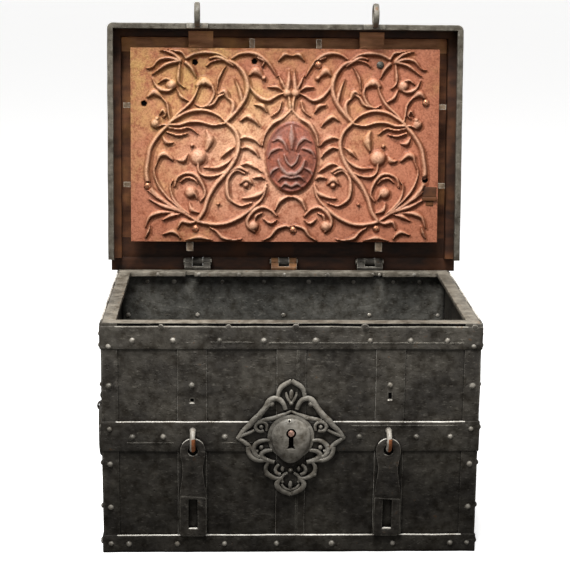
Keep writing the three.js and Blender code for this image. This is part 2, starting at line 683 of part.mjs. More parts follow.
function lidOutline(x0, x1, y0, y1, radius) {
  const shape = new THREE.Shape();
  shape.moveTo(x0, y1);
  shape.lineTo(x0, y0 + radius);
  shape.quadraticCurveTo(x0, y0, x0 + radius, y0);
  shape.lineTo(x1 - radius, y0);
  shape.quadraticCurveTo(x1, y0, x1, y0 + radius);
  shape.lineTo(x1, y1);
  shape.closePath();
  return shape;
}

// The whole lid's outline as a tall block, which rounds the front corners of what it meets
function lidBlock(z0, z1) {
  const shape = lidOutline(-skirtOuterX, skirtOuterX, -skirtOuterY, lidRear, lidCornerRadius);
  const settings = { depth: z1 - z0, bevelEnabled: false, curveSegments: 4 };
  const geometry = new THREE.ExtrudeGeometry(shape, settings);
  return solid(geometry.translate(0, 0, z0));
}

function lidPlate(parent) {
  const keyhole = rod(vector(0, 0, lidUnderside - overrun), vector(0, 0, lidTop + overrun), keyholeRadius);
  const parts = [lidBlock(lidUnderside, lidTop).subtract(keyhole)];
  const notchHalf = strapWidth / 2 + hingeClearance;
  const ends = [-skirtOuterX, ...strapPlaces.flatMap((x) => [x - notchHalf, x + notchHalf]), skirtOuterX];
  for (let i = 0; i < ends.length; i += 2) {
    parts.push(block(ends[i], ends[i + 1], lidRear - overrun, hingeY + lidTailReach, lidUnderside, lidTop));
  }
  piece('lid_plate', joined(parts), iron, parent);
}

// Points of a skirt's section: distance in from the outer face, and height
function skirtSection() {
  const top = lidUnderside - seatGap;
  return [
    [0, skirtBottom], [beadWidth, skirtBottom], [beadWidth, skirtBottom + beadHeight],
    [skirtWall, skirtBottom + beadHeight + beadWidth - skirtWall], [skirtWall, rim + ledgeClearance],
    [ledgeWidth, rim + ledgeClearance], [ledgeWidth, top], [0, top],
  ];
}

function lidSkirts(parent) {
  const section = skirtSection();
  const sideStart = -(skirtOuterY - beadWidth) + seatGap;
  const frontOutline = section.map(([inward, z]) => [-skirtOuterY + inward, z]);
  let frontSkirt = alongX(frontOutline, -skirtOuterX, skirtOuterX);
  frontSkirt = frontSkirt.intersect(lidBlock(skirtBottom - overrun, lidTop + overrun));
  const endX = skirtOuterX - ledgeWidth - seatGap;
  for (const xs of [[-skirtOuterX - overrun, -endX], [endX, skirtOuterX + overrun]]) {
    const endRoom = block(...xs, sideStart - seatGap, 0, skirtBottom - overrun, lidTop + overrun);
    frontSkirt = frontSkirt.subtract(endRoom);
  }
  piece('lid_skirt_front', frontSkirt, iron, parent);
  for (const [name, sx] of [['lid_skirt_left', -1], ['lid_skirt_right', 1]]) {
    const outline = section.map(([inward, z]) => new THREE.Vector2(sx * (skirtOuterX - inward), z));
    const side = plateXZ(new THREE.Shape(outline), sideStart, lidRear);
    piece(name, side, iron, parent);
  }
}

function lidStrap(name, x, parent) {
  const bottom = lidTop + seatGap;
  const top = bottom + lidStrapThickness;
  const half = strapWidth / 2;
  const knuckleHalf = lidKnuckleWidth / 2;
  let strap = block(x - half, x + half, -skirtOuterY + lidCornerRadius / 2, lidRear, bottom, top);
  const arm = alongX([
    [lidRear - hingeClearance, bottom], [lidRear - hingeClearance, top],
    [hingeY + hingeClearance, top], [hingeY + knuckleRadius, (top + hingeZ) / 2],
    [hingeY + knuckleRadius, hingeZ], [hingeY, hingeZ],
    [hingeY - knuckleRadius / 2, hingeZ + knuckleRadius / 2],
    [hingeY - knuckleRadius / 2, lidUnderside], [lidRear + hingeClearance, bottom],
  ], x - knuckleHalf, x + knuckleHalf);
  const ends = [vector(x - knuckleHalf, hingeY, hingeZ), vector(x + knuckleHalf, hingeY, hingeZ)];
  const barrel = rod(ends[0], ends[1], knuckleRadius);
  const bore = rod(vector(x - half, hingeY, hingeZ), vector(x + half, hingeY, hingeZ),
    hingePinRadius + hingePinClearance, 12);
  strap = joined([strap, arm, barrel]).subtract(bore);
  if (x === 0) {
    strap = strap.subtract(rod(vector(0, 0, bottom - overrun), vector(0, 0, top + overrun), keyholeRadius));
    strap = strap.add(rod(vector(0, -keyCoverPivot, bottom + lidStrapThickness / 2),
      vector(0, -keyCoverPivot, top + seatGap + keyCoverThickness), keyCoverPivotRadius, 12));
  }
  const heads = [];
  const lastShare = 0.8;
  for (const share of [-lastShare, -lastShare / 2, lastShare / 2, lastShare]) {
    heads.push(rivet(vector(x, share * halfDepth, top), up));
  }
  piece(name, joined([strap, ...heads]), iron, parent);
}

function keyCover(parent) {
  const bottom = lidTop + seatGap + lidStrapThickness + seatGap;
  const top = bottom + keyCoverThickness;
  const disc = rod(vector(0, 0, bottom), vector(0, 0, top), keyCoverRadius, 20);
  const lug = rod(vector(0, -keyCoverPivot, bottom), vector(0, -keyCoverPivot, top), keyCoverLugRadius, 14);
  const neck = block(-keyCoverLugRadius, keyCoverLugRadius, -keyCoverPivot, 0, bottom, top);
  const bore = rod(vector(0, -keyCoverPivot, bottom - overrun), vector(0, -keyCoverPivot, top + overrun),
    keyCoverPivotRadius + slideClearance, 12);
  piece('lid_keyhole_cover', joined([disc, lug, neck]).subtract(bore), brightIron, parent);
}

// A hook under the skirt's bead: a cross bar, and a ring that stands through the raised hasp
function lidHook(name, x, parent) {
  const ringY = pivotY - hookForward;
  const ringZ = pivotZ + hookAbove;
  const half = hookThickness / 2;
  const ring = rod(vector(x - half, ringY, ringZ), vector(x + half, ringY, ringZ), hookRingRadius, 20);
  const hole = rod(vector(x - half - overrun, ringY, ringZ), vector(x + half + overrun, ringY, ringZ),
    hookHoleRadius, 14);
  const barTop = skirtBottom - seatGap;
  const barBottom = barTop - hookBarHeight;
  const barY0 = -skirtOuterY + seatGap;
  const barY1 = -skirtOuterY + beadWidth - seatGap;
  const bar = block(x - hookBarWidth / 2, x + hookBarWidth / 2, barY0, barY1, barBottom, barTop);
  const neck = block(x - half, x + half, barY0 + seatGap, barY1 - seatGap,
    ringZ + hookRingRadius / 4, barBottom + seatGap);
  piece(name, joined([ring, neck]).subtract(hole).add(bar), brightIron, parent);
}

// The lock under the lid: a cover plate, four bolt bars, and the rotor that the key turns

// Each bar is modelled as the front one and turned about the rotor's axis by quarter turns
const boltBars = {
  front: {
    turns: 0,
    edge: coverDepth / 2,
    cross: endCross,
    reach: boltReach,
    spacing: frontBoltSpacing,
    width: boltWidth,
  },
  left: {
    turns: 1,
    edge: coverWidth / 2,
    cross: sideCross,
    reach: sideBoltReach,
    spacing: sideBoltSpacing,
    width: boltWidth,
  },
  rear: {
    turns: 2,
    edge: coverDepth / 2,
    cross: endCross,
    reach: boltReach,
    spacing: rearBoltSpacing,
    width: rearBoltWidth,
  },
  right: {
    turns: 3,
    edge: coverWidth / 2,
    cross: sideCross,
    reach: sideBoltReach,
    spacing: sideBoltSpacing,
    width: boltWidth,
  },
};

function turned(manifold, turns) {
  return manifold.rotate([0, 0, -90 * turns]);
}

function boltBar(name, bar, parent) {
  const end = (bar.spacing + bar.width) / 2;
  const slotHalf = rotorPinRadius + slideClearance;
  const slotBack = slotHalf + rotorArm * (1 - Math.cos(boltTravel / rotorArm));
  const eyeHalf = slotHalf + barWidth / 2;
  const eyeWidth = slotBack + barWidth / 4;
  const level = [boltBottom, boltTop];
  const parts = [
    block(rotorArm - eyeWidth, rotorArm + eyeWidth, -eyeHalf, eyeHalf, ...level),
    block(rotorArm - barWidth / 2, rotorArm + barWidth / 2, -bar.cross, 0, ...level),
    block(-end, end, -bar.cross, barWidth - bar.cross, ...level),
  ];
  for (const x of [-end, end - bar.width]) {
    parts.push(block(x, x + bar.width, -(bar.edge + bar.reach), barWidth - bar.cross, ...level));
  }
  const slot = block(rotorArm - slotBack, rotorArm + slotHalf, -slotHalf, slotHalf,
    boltBottom - overrun, boltTop + overrun);
  piece(name, turned(joined(parts).subtract(slot), bar.turns), innerIron, parent);
}

function rotor(parent) {
  const bottom = boltTop + seatGap;
  const top = bottom + rotorThickness;
  const hub = rod(vector(0, 0, boltBottom), vector(0, 0, lidUnderside - seatGap), rotorHubRadius);
  const disc = rod(vector(0, 0, bottom), vector(0, 0, top), rotorRadius, 28);
  const bore = rod(vector(0, 0, top), vector(0, 0, lidUnderside + overrun), keyBoreRadius, 12);
  const parts = [hub, disc];
  for (const [x, y] of [[rotorArm, 0], [0, rotorArm], [-rotorArm, 0], [0, -rotorArm]]) {
    parts.push(rod(vector(x, y, boltBottom + seatGap), vector(x, y, top - seatGap), rotorPinRadius, 12));
  }
  piece('lock_rotor', joined(parts).subtract(bore), innerIron, parent);
}

// What bulges down from the cover plate: a form about the height 0, flattened and cut off in mid plate
function embossed(form, height, halfWidth, face) {
  const cut = coverThickness / 2;
  return form.scale([1, 1, height / halfWidth]).trimByPlane([0, 0, -1], -cut).translate([0, 0, face]);
}

function coverRelief(face) {
  const leftRoom = coverWidth / 2 + reliefOffset;
  const rightRoom = coverWidth / 2 - reliefOffset;
  const place = ([across, up], mirror) => {
    const x = across * coverWidth / 2;
    const mirrored = reliefOffset + (reliefOffset - x) * rightRoom / leftRoom;
    return vector(mirror ? mirrored : x, -up * coverDepth / 2, 0);
  };
  const parts = [];
  for (const mirror of [false, true]) {
    for (const shares of stemShares) {
      const line = new THREE.CatmullRomCurve3(shares.map((share) => place(share, mirror)));
      parts.push(embossed(tube(line, stemWidth / 2, 4 * shares.length), stemHeight, stemWidth / 2, face));
    }
    for (const share of budShares) {
      const { x, y } = place(share, mirror);
      const bud = solid(new THREE.SphereGeometry(budRadius, 12, 8)).translate([x, y, 0]);
      parts.push(embossed(bud, budHeight, budRadius, face));
    }
  }
  const oval = solid(new THREE.SphereGeometry(cartoucheHalfWidth, 24, 14));
  const shape = oval.scale([1, cartoucheHalfHeight / cartoucheHalfWidth, 1]);
  const cartouche = shape.translate([reliefOffset, cartoucheDrop, 0]);
  parts.push(embossed(cartouche, cartoucheHeight, cartoucheHalfWidth, face));
  return parts;
}

function coverPlate(parent) {
  const x = coverWidth / 2;
  const y = coverDepth / 2;
  const face = coverTop - coverThickness;
  const parts = [block(-x, x, -y, y, face, coverTop), ...coverRelief(face)];
  const down = vector(0, 0, -1);
  for (const sx of [-1, 1]) {
    for (const sy of [-1, 1]) {
      const place = vector(sx * (x - coverPostInset), sy * (y - coverPostInset), face);
      parts.push(rivet(place, down, screwRadius, screwHeight));
    }
  }
  for (const bar of Object.values(boltBars)) {
    const outer = bar.edge - guideInset;
    for (const bolt of [-bar.spacing / 2, bar.spacing / 2]) {
      for (const side of [-1, 1]) {
        const near = bolt + side * (bar.width / 2 + slideClearance);
        const far = near + side * guideWidth;
        const guide = block(Math.min(near, far), Math.max(near, far), -outer, -outer + guideLength,
          coverTop - coverThickness / 2, boltTop);
        parts.push(turned(guide, bar.turns));
      }
    }
  }
  piece('lock_cover_plate', joined(parts), paintedCover, parent);
}

function coverPosts(parent) {
  for (const [side, sx] of [['left', -1], ['right', 1]]) {
    for (const [end, sy] of [['front', -1], ['rear', 1]]) {
      const x = sx * (coverWidth / 2 - coverPostInset);
      const y = sy * (coverDepth / 2 - coverPostInset);
      const foot = vector(x, y, coverTop + seatGap);
      const post = rod(foot, vector(x, y, lidUnderside - seatGap), coverPostRadius, 12);
      piece(`cover_post_${end}_${side}`, post, innerIron, parent);
    }
  }
}

// Assembly

const group = new THREE.Group();

bodyPlates(group);
rimBars(group);
hoops(group);
for (const [side, sx] of [['left', -1], ['right', 1]]) {
  cornerStrap(`corner_strap_front_${side}`, sx, -1, group);
  cornerStrap(`corner_strap_back_${side}`, sx, 1, group);
  sideStrap(`side_strap_${side}_front`, sx, -sideStrapSpacing / 2, group);
  sideStrap(`side_strap_${side}_back`, sx, sideStrapSpacing / 2, group);
  handlePlate(`handle_plate_${side}`, sx, group);
  bail(`handle_bail_${side}`, sx, group);
}
const strapNames = ['left', 'centre', 'right'];
strapPlaces.forEach((x, i) => {
  frontStrap(`front_strap_${strapNames[i]}`, x, x !== 0, group);
  hingeStrap(`hinge_strap_${strapNames[i]}`, x, group);
  hingePin(`hinge_pin_${strapNames[i]}`, x, group);
});
escutcheon(group);
keyholeBoss(group);
for (const [side, x] of Object.entries(haspPlaces)) {
  haspStaple(`hasp_staple_${side}`, x, group);
  hasp(`hasp_${side}`, x, group);
}

// The lid turns about the hinge axis; inside it everything keeps its place on the closed box
const lidTurn = new THREE.Group();
lidTurn.position.set(0, hingeY, hingeZ);
lidTurn.rotation.x = -THREE.MathUtils.degToRad(lidOpenAngle);
const lid = new THREE.Group();
lid.position.set(0, -hingeY, -hingeZ);
lidTurn.add(lid);
group.add(lidTurn);

lidPlate(lid);
lidSkirts(lid);
strapPlaces.forEach((x, i) => lidStrap(`lid_strap_${strapNames[i]}`, x, lid));
keyCover(lid);
for (const [side, x] of Object.entries(haspPlaces)) lidHook(`lid_hook_${side}`, x, lid);
for (const [place, bar] of Object.entries(boltBars)) boltBar(`bolt_bar_${place}`, bar, lid);
rotor(lid);
coverPosts(lid);
coverPlate(lid);

export default group;
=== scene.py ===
"""Riveted iron strongbox with its lid open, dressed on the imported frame.

The body's sheets, bands and rivets, the hasps, handles and escutcheon, the lid with its embossed lock
cover, and the stage. Metres, +Z up, the front faces -Y. Pieces of the lid are modelled as on the shut
box and then turned open about the hinge.
"""

import json
import math
import random

import bpy
import numpy as np
from mathutils import Matrix, Vector


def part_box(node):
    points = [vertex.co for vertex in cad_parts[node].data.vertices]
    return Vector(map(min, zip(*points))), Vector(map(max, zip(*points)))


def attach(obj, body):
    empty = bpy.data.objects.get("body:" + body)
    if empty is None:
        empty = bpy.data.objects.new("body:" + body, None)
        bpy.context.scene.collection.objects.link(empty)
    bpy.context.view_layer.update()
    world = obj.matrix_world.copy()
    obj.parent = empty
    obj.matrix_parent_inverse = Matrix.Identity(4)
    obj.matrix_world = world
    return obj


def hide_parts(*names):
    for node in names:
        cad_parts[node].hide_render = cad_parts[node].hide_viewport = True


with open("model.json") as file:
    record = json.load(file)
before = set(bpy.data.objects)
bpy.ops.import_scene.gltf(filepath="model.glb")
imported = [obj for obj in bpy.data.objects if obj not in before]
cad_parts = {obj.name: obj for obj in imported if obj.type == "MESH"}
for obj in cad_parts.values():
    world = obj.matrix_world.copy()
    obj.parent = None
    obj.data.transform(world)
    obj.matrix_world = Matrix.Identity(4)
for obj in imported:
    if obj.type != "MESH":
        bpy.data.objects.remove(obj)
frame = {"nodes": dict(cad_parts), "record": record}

bl_info = {
    "name": "Iron strongbox",
    "version": (1, 0, 0),
    "blender": (4, 5, 0),
    "location": "View3D > Sidebar > Strongbox",
    "description": "Builds the looks of a riveted iron strongbox, piece by piece",
    "category": "Add Mesh",
}

MM = 0.001
DENT_SIZE = 45 * MM  # of the hammer's dents in sheets and bars

# Places read from the frame
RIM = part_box("rim_bar_front")[1].z
PLATE_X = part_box("front_plate")[1].x
PLATE_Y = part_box("back_plate")[1].y
BAND = 4 * MM  # from a plate's face to the face of a hoop over it
HOOP_X = PLATE_X + BAND
HOOP_Y = PLATE_Y + BAND
STRAP_OUT = -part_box("front_strap_centre")[0].y
STRAP_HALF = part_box("front_strap_centre")[1].x
STRAP_PLACES = [(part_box("front_strap_" + side)[0].x + STRAP_HALF) for side in ("left", "centre", "right")]
MID_Z = (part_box("middle_hoop")[0].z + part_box("middle_hoop")[1].z) / 2
HOOPS = [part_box(node) for node in ("top_hoop", "middle_hoop", "bottom_hoop")]
JOINTS = {joint["name"]: joint for joint in frame["record"]["behaviour"]["joints"]}
HINGE = Vector(JOINTS["lid_hinge"]["pos_m"])
LID_OPEN = math.radians(JOINTS["lid_hinge"]["range_deg"][1])
OPENED = Matrix.Translation(HINGE) @ Matrix.Rotation(-LID_OPEN, 4, "X") @ Matrix.Translation(-HINGE)
HASP_PLACES = {side: JOINTS[side + "_hasp_swing"]["pos_m"][0] for side in ("left", "right")}
PIVOT_Y = JOINTS["left_hasp_swing"]["pos_m"][1]
PIVOT_Z = JOINTS["left_hasp_swing"]["pos_m"][2]

# The lid as it is on the shut box
LID_HALF = 313 * MM
LID_FRONT = -213 * MM
LID_REAR = 203 * MM
LID_TAIL = HINGE.y + 17 * MM
LID_UNDER = 400 * MM
LID_TOP = 404 * MM
LID_CORNER = 10 * MM
SKIRT_BOTTOM = 338 * MM
SKIRT_TOP = 399.7 * MM
BEAD = 10 * MM
SKIRT_WALL = 5 * MM
LEDGE_WIDTH = 21 * MM
LEDGE_Z = 380.8 * MM
COVER_HALF_X = 273.5 * MM
COVER_HALF_Y = 171 * MM
COVER_FACE = 355.5 * MM
COVER_TOP = 358.3 * MM
HOOK_RING = (PIVOT_Y - 24 * MM, PIVOT_Z + 122 * MM)


class StrongboxSizes(bpy.types.PropertyGroup):
    rivet_radius: bpy.props.FloatProperty(
        name="Rivet radius", description="Radius of a rivet's head", default=4.5 * MM, unit="LENGTH")
    rivet_height: bpy.props.FloatProperty(
        name="Rivet height", description="How far a rivet's head stands out", default=3.6 * MM, unit="LENGTH")
    edge_radius: bpy.props.FloatProperty(
        name="Edge radius", description="How round the rubbed edges are", default=0.8 * MM, unit="LENGTH")
    dent_depth: bpy.props.FloatProperty(
        name="Dent depth", description="Depth of the hammer's dents in sheets and bars", default=1.4 * MM,
        unit="LENGTH")
    relief_height: bpy.props.FloatProperty(
        name="Relief height", description="Height of the embossed vines", default=7.5 * MM, unit="LENGTH")
    relief_cell: bpy.props.FloatProperty(
        name="Relief cell", description="Distance between the points of the embossed sheet", default=1.5 * MM,
        unit="LENGTH")


class StrongboxColours(bpy.types.PropertyGroup):
    iron: bpy.props.StringProperty(
        name="Iron", description="Oiled, blackened iron, sRGB hex", default="#3A3733")
    iron_light: bpy.props.StringProperty(
        name="Iron, light", description="Greyer patches of the iron", default="#524E47")
    # The worn colour also paints the glints on the iron's specks
    worn: bpy.props.StringProperty(
        name="Worn edge", description="Iron rubbed bright on edges", default="#B9B3A6")
    rust: bpy.props.StringProperty(
        name="Rust", description="Brown rust in patches", default="#5E4329")
    paint: bpy.props.StringProperty(
        name="Paint", description="Terracotta paint of the lock's cover", default="#A2654A")
    # The pale paint serves both for rubbed crests and for the painted highlight on them
    paint_rubbed_and_lit: bpy.props.StringProperty(
        name="Paint, rubbed", description="The same paint where hands rubbed it pale", default="#E2B898")
    ochre: bpy.props.StringProperty(
        name="Ochre", description="Ochre varnish in the ground of the relief", default="#B08A52")
    primer: bpy.props.StringProperty(
        name="Red lead", description="Darkened red lead inside the lid", default="#4A2C1F")


# Helpers for modelling

def only(piece):
    """Makes the piece the one that is selected and active."""
    if bpy.context.object and bpy.context.object.mode != "OBJECT":
        bpy.ops.object.mode_set(mode="OBJECT")
    bpy.ops.object.select_all(action="DESELECT")
    piece.select_set(True)
    bpy.context.view_layer.objects.active = piece
    return piece


def settle(piece, matrix=None):
    """Puts the piece's place into its mesh."""
    only(piece)
    if matrix is not None:
        piece.matrix_world = matrix @ piece.matrix_world
    bpy.ops.object.transform_apply(location=True, rotation=True, scale=True)
    return piece


def modified(piece, kind, **settings):
    """Adds one modifier and applies it."""
    only(piece)
    bpy.ops.object.modifier_add(type=kind)
    modifier = piece.modifiers[-1]
    for key, value in settings.items():
        setattr(modifier, key, value)
    bpy.ops.object.modifier_apply(modifier=modifier.name)
    return piece


def cut_out(piece, *cutters):
    """Cuts the cutters' shapes out of the piece and removes the cutters."""
    for cutter in cutters:
        modified(piece, "BOOLEAN", object=cutter, operation="DIFFERENCE", solver="EXACT")
        only(cutter)
        bpy.ops.object.delete()
    return piece


def smooth(piece, degrees):
    """Shades the piece smooth, except at edges sharper than the angle."""
    only(piece)
    bpy.ops.object.shade_smooth_by_angle(angle=math.radians(degrees))
    return piece


def linked(name, data):
    """A new object with that data, in the scene."""
    piece = bpy.data.objects.new(name, data)
    bpy.context.collection.objects.link(piece)
    return piece


def ball(segments, rings, foot=None):
    """A ball of radius 1, cut flat at the foot's height if one is given."""
    bpy.ops.object.select_all(action="DESELECT")
    bpy.ops.mesh.primitive_uv_sphere_add(segments=segments, ring_count=rings, radius=1)
    piece = bpy.context.object
    if foot is not None:
        bpy.ops.object.mode_set(mode="EDIT")
        bpy.ops.mesh.select_all(action="SELECT")
        bpy.ops.mesh.bisect(plane_co=(0, 0, foot), plane_no=(0, 0, -1), clear_outer=True, use_fill=True)
        bpy.ops.object.mode_set(mode="OBJECT")
    return piece


def hammered(piece, depth, size):
    """Uneven faces and edges: depth from crest to hollow, and the size of one dent."""
    cloud = bpy.data.textures.new("dents", "CLOUDS")
    cloud.cloud_type = "COLOR"
    cloud.noise_scale = size
    cloud.noise_depth = 2
    return modified(piece, "DISPLACE", texture=cloud, direction="RGB_TO_XYZ", strength=depth, mid_level=0.5)


def edged(piece, width=None, angle=50):
    """Rounds the sharp edges as use and oil have, and shades the rest smooth."""
    width = width or bpy.context.scene.strongbox_sizes.edge_radius
    modified(piece, "BEVEL", width=width, segments=2, limit_method="ANGLE", angle_limit=math.radians(angle))
    return smooth(piece, angle)


def joined(name, pieces):
    """Joins the pieces into the first one."""
    only(pieces[0])
    for piece in pieces[1:]:
        piece.select_set(True)
    if len(pieces) > 1:
        bpy.ops.object.join()
    pieces[0].name = name
    pieces[0].data.name = name
    return pieces[0]


def faces_outward(piece):
    """Recalculates the normals of a closed shape."""
    only(piece)
    bpy.ops.object.mode_set(mode="EDIT")
    bpy.ops.mesh.select_all(action="SELECT")
    bpy.ops.mesh.normals_make_consistent(inside=False)
    bpy.ops.object.mode_set(mode="OBJECT")
    return piece


def plank(lo, hi, cell=9 * MM):
    """A sheet or bar between two corners, with a grid of cells on its two broad faces."""
    lo, hi = Vector(lo), Vector(hi)
    size = hi - lo
    thin = min(range(3), key=lambda axis: size[axis])
    across, along = (thin + 1) % 3, (thin + 2) % 3
    bpy.ops.object.select_all(action="DESELECT")
    bpy.ops.mesh.primitive_grid_add(
        x_subdivisions=max(1, round(size[across] / cell)), y_subdivisions=max(1, round(size[along] / cell)),
        size=1, location=(0, 0, 0))
    piece = bpy.context.object
    placed = Matrix.Translation((lo + hi) / 2)
    for column, axis, length in ((0, across, size[across]), (1, along, size[along]), (2, thin, 1)):
        for row in range(3):
            placed[row][column] = length if row == axis else 0
    settle(piece, placed)
    return modified(piece, "SOLIDIFY", thickness=size[thin], offset=0)


def forged(lo, hi, cell=9 * MM, depth=None, edge=None):
    """A plank that a smith's hammer has left uneven, with rubbed edges."""
    depth = bpy.context.scene.strongbox_sizes.dent_depth if depth is None else depth
    piece = plank(lo, hi, cell)
    if depth:
        hammered(piece, depth, DENT_SIZE)
    return edged(piece, edge)


def marked(piece, finish, *directions, share=0.3, where=None):
    """Gives a finish of their own, which joining keeps, to faces that turn toward a direction, in a place."""
    if not piece.data.materials:
        piece.data.materials.append(None)
    piece.data.materials.append(look(finish))
    for polygon in piece.data.polygons:
        turned = any(polygon.normal.dot(Vector(direction)) > share for direction in directions)
        turned = turned or not directions
        if turned and (where is None or where(polygon.center)):
            polygon.material_index = len(piece.data.materials) - 1
    return piece


def rod(start, end, radius, sides=20):
    """A round bar between two points, with rubbed ends."""
    start, end = Vector(start), Vector(end)
    bpy.ops.object.select_all(action="DESELECT")
    bpy.ops.mesh.primitive_cylinder_add(vertices=sides, radius=radius, depth=(end - start).length)
    piece = bpy.context.object
    turn = Vector((0, 0, 1)).rotation_difference(end - start).to_matrix().to_4x4()
    settle(piece, Matrix.Translation((start + end) / 2) @ turn)
    return edged(piece, radius / 8)


def copies(pattern, matrices):
    """Copies of one modelled shape, each with its own mesh; the pattern itself is removed."""
    made = []
    for matrix in matrices:
        copy = pattern.copy()
        copy.data = pattern.data.copy()
        bpy.context.collection.objects.link(copy)
        copy.matrix_world = matrix
        made.append(copy)
    only(pattern)
    bpy.ops.object.delete()
    for copy in made:
        settle(copy)
    return made


RIVET_LEAN = 0.12  # most that a rivet's head leans to a side, in radians


def rivet_heads(places, outward, seed, radius=None, height=None, finish="rivet_iron"):
    """Hand set rivet heads at the places: a dome on a slight foot, each a little different."""
    sizes = bpy.context.scene.strongbox_sizes
    radius = radius or sizes.rivet_radius
    height = height or sizes.rivet_height
    head = marked(smooth(ball(10, 6, -0.2), 60), finish)
    chance = random.Random(seed)
    turn = Vector((0, 0, 1)).rotation_difference(Vector(outward)).to_matrix().to_4x4()
    matrices = []
    for place in places:
        share = chance.uniform(0.86, 1.1)
        lean = Matrix.Rotation(chance.uniform(-RIVET_LEAN, RIVET_LEAN), 4, "X")
        lean = lean @ Matrix.Rotation(chance.uniform(-RIVET_LEAN, RIVET_LEAN), 4, "Y")
        spin = Matrix.Rotation(chance.uniform(0, math.tau), 4, "Z")
        grown = Matrix.Diagonal((radius * share, radius * share * chance.uniform(0.9, 1), height * share, 1))
        matrices.append(Matrix.Translation(Vector(place)) @ turn @ lean @ spin @ grown)
    return copies(head, matrices)


def drawn(route, widths, closed=False, sides=4, steps=6):
    """A bar of changing width along a smooth line: the widths go evenly from start to end."""
    curve = bpy.data.curves.new("line", "CURVE")
    curve.dimensions = "3D"
    curve.bevel_depth = 1
    curve.bevel_resolution = sides
    curve.resolution_u = steps
    curve.use_fill_caps = not closed
    spline = curve.splines.new("NURBS")
    spline.points.add(len(route) - 1)
    for index, (point, place) in enumerate(zip(spline.points, route)):
        share = index / (len(route) - 1) * (len(widths) - 1)
        low = min(int(share), len(widths) - 2)
        point.co = (*place, 1)
        point.radius = (widths[low] + (share - low) * (widths[low + 1] - widths[low])) / 2
    spline.order_u = 4
    spline.use_endpoint_u = not closed
    spline.use_cyclic_u = closed
    piece = only(linked("line", curve))
    bpy.ops.object.convert(target="MESH")
    return smooth(piece, 60)


def cut_from_sheet(outline, holes, y0, y1, chamfer=0.7 * MM):
    """A shape cut from sheet: outline and holes as [x, z] points, faces at y0 and y1."""
    curve = bpy.data.curves.new("outline", "CURVE")
    curve.dimensions = "2D"
    curve.fill_mode = "BOTH"
    curve.extrude = (y1 - y0) / 2 - chamfer
    curve.bevel_depth = chamfer
    curve.bevel_resolution = 1
    curve.offset = -chamfer
    for ring in (outline, *holes):
        spline = curve.splines.new("POLY")
        spline.points.add(len(ring) - 1)
        for point, (x, z) in zip(spline.points, ring):
            point.co = (x, z, 0, 1)
        spline.use_cyclic_u = True
    piece = only(linked("outline", curve))
    bpy.ops.object.convert(target="MESH")
    modified(piece, "WELD", merge_threshold=0.01 * MM)
    settle(piece, Matrix.Translation((0, (y0 + y1) / 2, 0)) @ Matrix.Rotation(math.pi / 2, 4, "X"))
    return smooth(faces_outward(piece), 35)


def rounded(points, radius, steps=4):
    """The closed outline through the points, with its corners rounded."""
    out = []
    count = len(points)
    for index, corner in enumerate(points):
        here = Vector(corner)
        before, after = Vector(points[index - 1]) - here, Vector(points[(index + 1) % count]) - here
        reach = min(radius, before.length / 2, after.length / 2)
        first, last = here + before.normalized() * reach, here + after.normalized() * reach
        for step in range(steps + 1):
            share = step / steps
            out.append(tuple(first.lerp(here, share).lerp(here.lerp(last, share), share)))
    return out


def ring_of(x, z, radius, count=24, stretch=1.0):
    """Points of a round hole."""
    angles = [index / count * math.tau for index in range(count)]
    return [(x + radius * math.cos(a), z + radius * stretch * math.sin(a)) for a in angles]


def dressed(piece, material, body, slot, *nodes):
    """Gives the piece its material and body, and lets it stand for its CAD nodes; the slot is not used."""
    if material is not None and piece.data.materials:
        piece.data.materials[0] = material
    elif material is not None:
        piece.data.materials.append(material)
    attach(piece, body)
    if nodes:
        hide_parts(*nodes)
    return piece


# Materials

def linear(code):
    """An sRGB hex colour as linear RGBA."""
    parts = [int(code[i:i + 2], 16) / 255 for i in (1, 3, 5)]
    return (*(c / 12.92 if c <= 0.04045 else ((c + 0.055) / 1.055) ** 2.4 for c in parts), 1)


def put(tree, kind, sockets=None, stops=None, **settings):
    """Adds one node: its settings, its colour stops, and its sockets' values or links."""
    node = tree.nodes.new(kind)
    for key, value in settings.items():
        setattr(node, key, value)
    for key, value in (sockets or {}).items():
        if isinstance(value, bpy.types.NodeSocket):
            tree.links.new(value, node.inputs[key])
        else:
            node.inputs[key].default_value = value
    if stops:
        for (place, colour), element in zip(stops, node.color_ramp.elements):
            element.position = place
            element.color = colour
        for place, colour in stops[2:]:
            node.color_ramp.elements.new(place).color = colour
    return node


BLACK = (0, 0, 0, 1)
WHITE = (1, 1, 1, 1)


def blank(name):
    """A new material with its tree, its shader and Object coordinates."""
    material = bpy.data.materials.new(name)
    material.use_nodes = True
    tree = material.node_tree
    shader = tree.nodes["Principled BSDF"]
    return material, tree, shader, put(tree, "ShaderNodeTexCoord").outputs["Object"]


